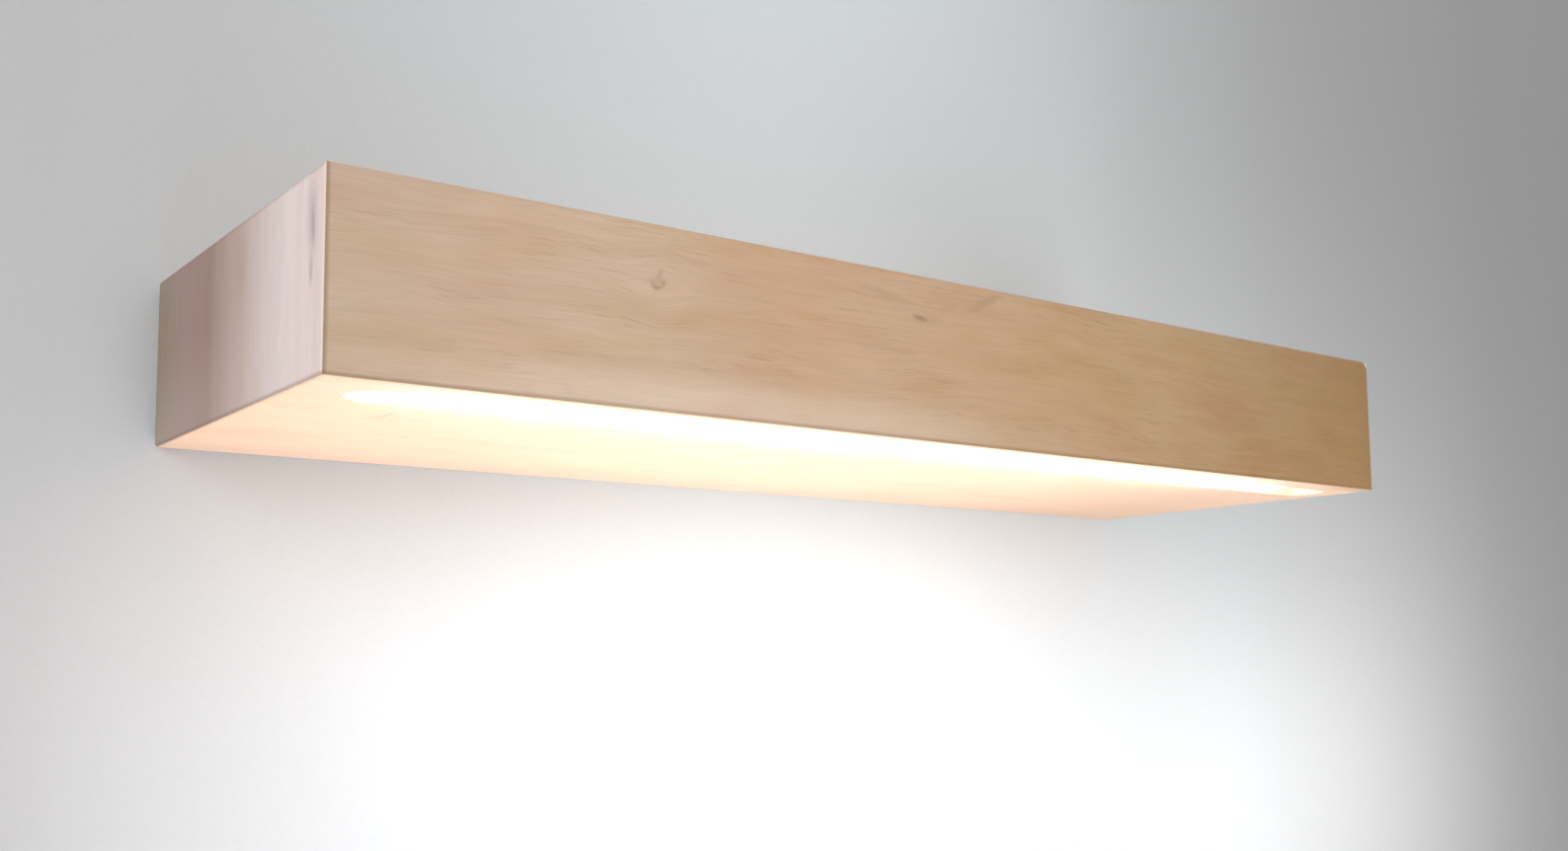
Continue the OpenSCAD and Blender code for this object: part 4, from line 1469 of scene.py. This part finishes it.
@dataclass
class Studio:
    """The wall, the floor, the lamps and the camera.

    Attributes:
        camera_place: The camera's place, in metres.
        camera_yaw: Its turn to the right of the wall's normal, in degrees.
        camera_pitch: Its tilt upwards, in degrees.
        camera_roll: Its roll, in degrees.
        focal_pixels: Its focal length in pixels of the picture.
        principal_point: The pixel that the camera points at.
        sensor_width: Width of the camera's sensor, in millimetres.
        near_clip: The nearest that the camera sees.
        floor_z: Height of the floor.
        floor_reach: How far the floor reaches from the middle.
        wall_gap: How far the wall's face lies behind the shelf.
        wall_span: The wall's left and right end.
        wall_top: Height of the wall's top.
        wall_painted_light: Painted light on the wall from left to right, palest where the lamp's
            light spreads.
        lamps: The soft lamps: front left, overhead, below the shelf's right end and behind.
        room_strength: Strength of the even light of the room.
        backdrop: Hex colour of the backdrop that the camera sees.
    """

    camera_place: Vector = field(default_factory=lambda: Vector((-0.4777, -0.6906, -0.1344)))
    camera_yaw: float = 36.996
    camera_pitch: float = 5.683
    camera_roll: float = -0.506
    focal_pixels: float = 1565.9
    principal_point: tuple[float, float] = (800.9, 524.5)
    sensor_width: float = 36.0
    near_clip: float = 0.01
    floor_z: float = -0.45
    floor_reach: float = 3.0
    wall_gap: float = 0.5 * MM
    wall_span: tuple[float, float] = (-1.6, 2.2)
    wall_top: float = 1.6
    # Painted light and shade: palest where the lamp's glow falls on the wall, greyer away from it.
    wall_painted_light: Stops = (
        (0.05, "#BFC0C1"),
        (0.2, "#D0D5D9"),
        (0.36, "#DBE2E6"),
        (0.54, "#C4C7C9"),
        (0.68, "#AFB0B1"),
        (0.9, "#A6A6A6"),
    )
    lamps: tuple[SoftLamp, ...] = (
        SoftLamp("key_lamp", (-1.5, -1.4, 0.35), SHELF_MIDDLE, (1.4, 1.2), 14.8, "#FBFCFF"),
        SoftLamp("top_lamp", (0.2, -0.5, 1.5), SHELF_MIDDLE, (1.6, 1.0), 8.0),
        SoftLamp("wash_lamp", (0.49, -0.3, -0.23), (0.49, 0.0, -0.23), (0.3, 0.1), 1.4),
        SoftLamp("rear_lamp", (0.5, 1.3, 0.6), SHELF_MIDDLE, (1.4, 1.0), 16.0),
    )
    room_strength: float = 0.6
    backdrop: str = "#E6E6E6"

    def build(self) -> None:
        """Set up the stage, the lamps, the world and the camera."""
        self.build_wall()
        self.build_floor()
        for lamp in self.lamps:
            lamp.build()
        self.build_world()
        self.build_camera()
        bpy.context.scene.view_settings.view_transform = "Standard"

    def build_wall(self) -> None:
        """Make the painted wall, which can be seen from the room only.

        From behind it is clear, and so is the patch that the shelf covers, so that light and
        the views from behind reach the bracket and the back panel.
        """
        left, right = self.wall_span
        y, bottom, top = self.wall_gap, self.floor_z, self.wall_top
        wall = self.sheet(
            "wall", [(left, y, bottom), (right, y, bottom), (right, y, top), (left, y, top)]
        )
        # Emulsion from a roller: matt and chalky, with painted light: pale where the lamp's light
        # spreads, grey away from it.
        material = RolledPaint("emulsion_rolled_wall", roughness=0.9, tones=self.wall_painted_light).make()
        tree = material.node_tree
        facing = add(tree, "ShaderNodeNewGeometry").outputs["Backfacing"]
        rays = add(tree, "ShaderNodeLightPath")
        place = add(tree, "ShaderNodeTexCoord").outputs["Object"]
        axes = add(tree, "ShaderNodeSeparateXYZ", {0: place})
        low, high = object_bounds()
        covered = None
        for i in (0, 2):
            middle, half = (low[i] + high[i]) / 2, (high[i] - low[i]) / 2
            off = add(
                tree, "ShaderNodeMath", {0: axes.outputs[i], 1: middle}, operation="SUBTRACT"
            )
            off = add(tree, "ShaderNodeMath", {0: off}, operation="ABSOLUTE")
            within = add(tree, "ShaderNodeMath", {0: off, 1: half}, operation="LESS_THAN")
            covered = (
                add(tree, "ShaderNodeMath", {0: covered, 1: within}, operation="MULTIPLY")
                if covered
                else within
            )
        unseen = add(
            tree,
            "ShaderNodeMath",
            {0: 1.0, 1: rays.outputs["Is Camera Ray"]},
            operation="SUBTRACT",
        )
        opened = add(tree, "ShaderNodeMath", {0: covered, 1: unseen}, operation="MULTIPLY")
        clear = add(tree, "ShaderNodeMath", {0: opened, 1: facing}, operation="MAXIMUM")
        glass = add(tree, "ShaderNodeBsdfTransparent")
        mix = add(
            tree,
            "ShaderNodeMixShader",
            {0: clear, 1: tree.nodes["Principled BSDF"], 2: glass},
        )
        output = tree.nodes["Material Output"]
        tree.links.new(mix.outputs[0], output.inputs["Surface"])
        wall.data.materials.append(material)

    def sheet(self, name: str, corners: list[tuple[float, float, float]]) -> Object:
        """Make a flat sheet of the stage.

        Args:
            name: The sheet's name.
            corners: Its four corners, in metres.

        Returns:
            The sheet, declared as stage.
        """
        mesh = bpy.data.meshes.new(name)
        mesh.from_pydata(corners, [], [(0, 1, 2, 3)])
        piece = bpy.data.objects.new(name, mesh)
        bpy.context.scene.collection.objects.link(piece)
        piece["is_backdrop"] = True
        return piece

    def build_floor(self) -> None:
        """Make the pale floor."""
        z, reach = self.floor_z, self.floor_reach
        floor = self.sheet(
            "floor", [(-reach, -reach, z), (reach, -reach, z), (reach, reach, z), (-reach, reach, z)]
        )
        # Painted screed: a plain pale grey, dull enough to take the shelf's shadow softly.
        floor.data.materials.append(RolledPaint("screed_painted_floor", roughness=0.8).make())

    def build_world(self) -> None:
        """Light the room evenly, with a pale backdrop for the camera."""
        world = bpy.data.worlds.new("studio")
        bpy.context.scene.world = world
        world.use_nodes = True
        tree = world.node_tree
        room = tree.nodes["Background"]
        room.inputs["Color"].default_value = linear("#FFFFFF")
        room.inputs["Strength"].default_value = self.room_strength
        backdrop = add(
            tree, "ShaderNodeBackground", {"Color": linear(self.backdrop), "Strength": 1.0}
        )
        rays = add(tree, "ShaderNodeLightPath")
        mix = add(
            tree,
            "ShaderNodeMixShader",
            {0: rays.outputs["Is Camera Ray"], 1: room, 2: backdrop},
        )
        tree.links.new(mix.outputs[0], tree.nodes["World Output"].inputs["Surface"])

    def build_camera(self) -> None:
        """Set the camera where the picture was taken from."""
        yaw, pitch = math.radians(self.camera_yaw), math.radians(self.camera_pitch)
        forward = Vector(
            (math.sin(yaw) * math.cos(pitch), math.cos(yaw) * math.cos(pitch), math.sin(pitch))
        )
        right = Vector((math.cos(yaw), -math.sin(yaw), 0.0))
        up = right.cross(forward)
        roll = math.radians(self.camera_roll)
        rolled_right = right * math.cos(roll) + up * math.sin(roll)
        rolled_up = up * math.cos(roll) - right * math.sin(roll)
        data = bpy.data.cameras.new("camera")
        width, height = IMAGE_SIZE
        data.sensor_width = self.sensor_width
        data.lens = self.focal_pixels * data.sensor_width / width
        data.shift_x = (width / 2 - self.principal_point[0]) / width
        data.shift_y = (self.principal_point[1] - height / 2) / width
        data.clip_start = self.near_clip
        camera = bpy.data.objects.new("camera", data)
        camera.matrix_world = Matrix.Translation(self.camera_place) @ Matrix(
            (rolled_right, rolled_up, -forward)
        ).transposed().to_4x4()
        bpy.context.scene.collection.objects.link(camera)
        bpy.context.scene.camera = camera


def main() -> None:
    """Build the lamp's looks in order."""
    logging.basicConfig(level=logging.INFO, format="%(name)s: %(message)s")
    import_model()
    for assembly in (ShelfBox(), LightBar(), Driver(), TerminalBlock(), WallBracket()):
        assembly.dress()
    Studio().build()


if __name__ == "__main__":
    main()
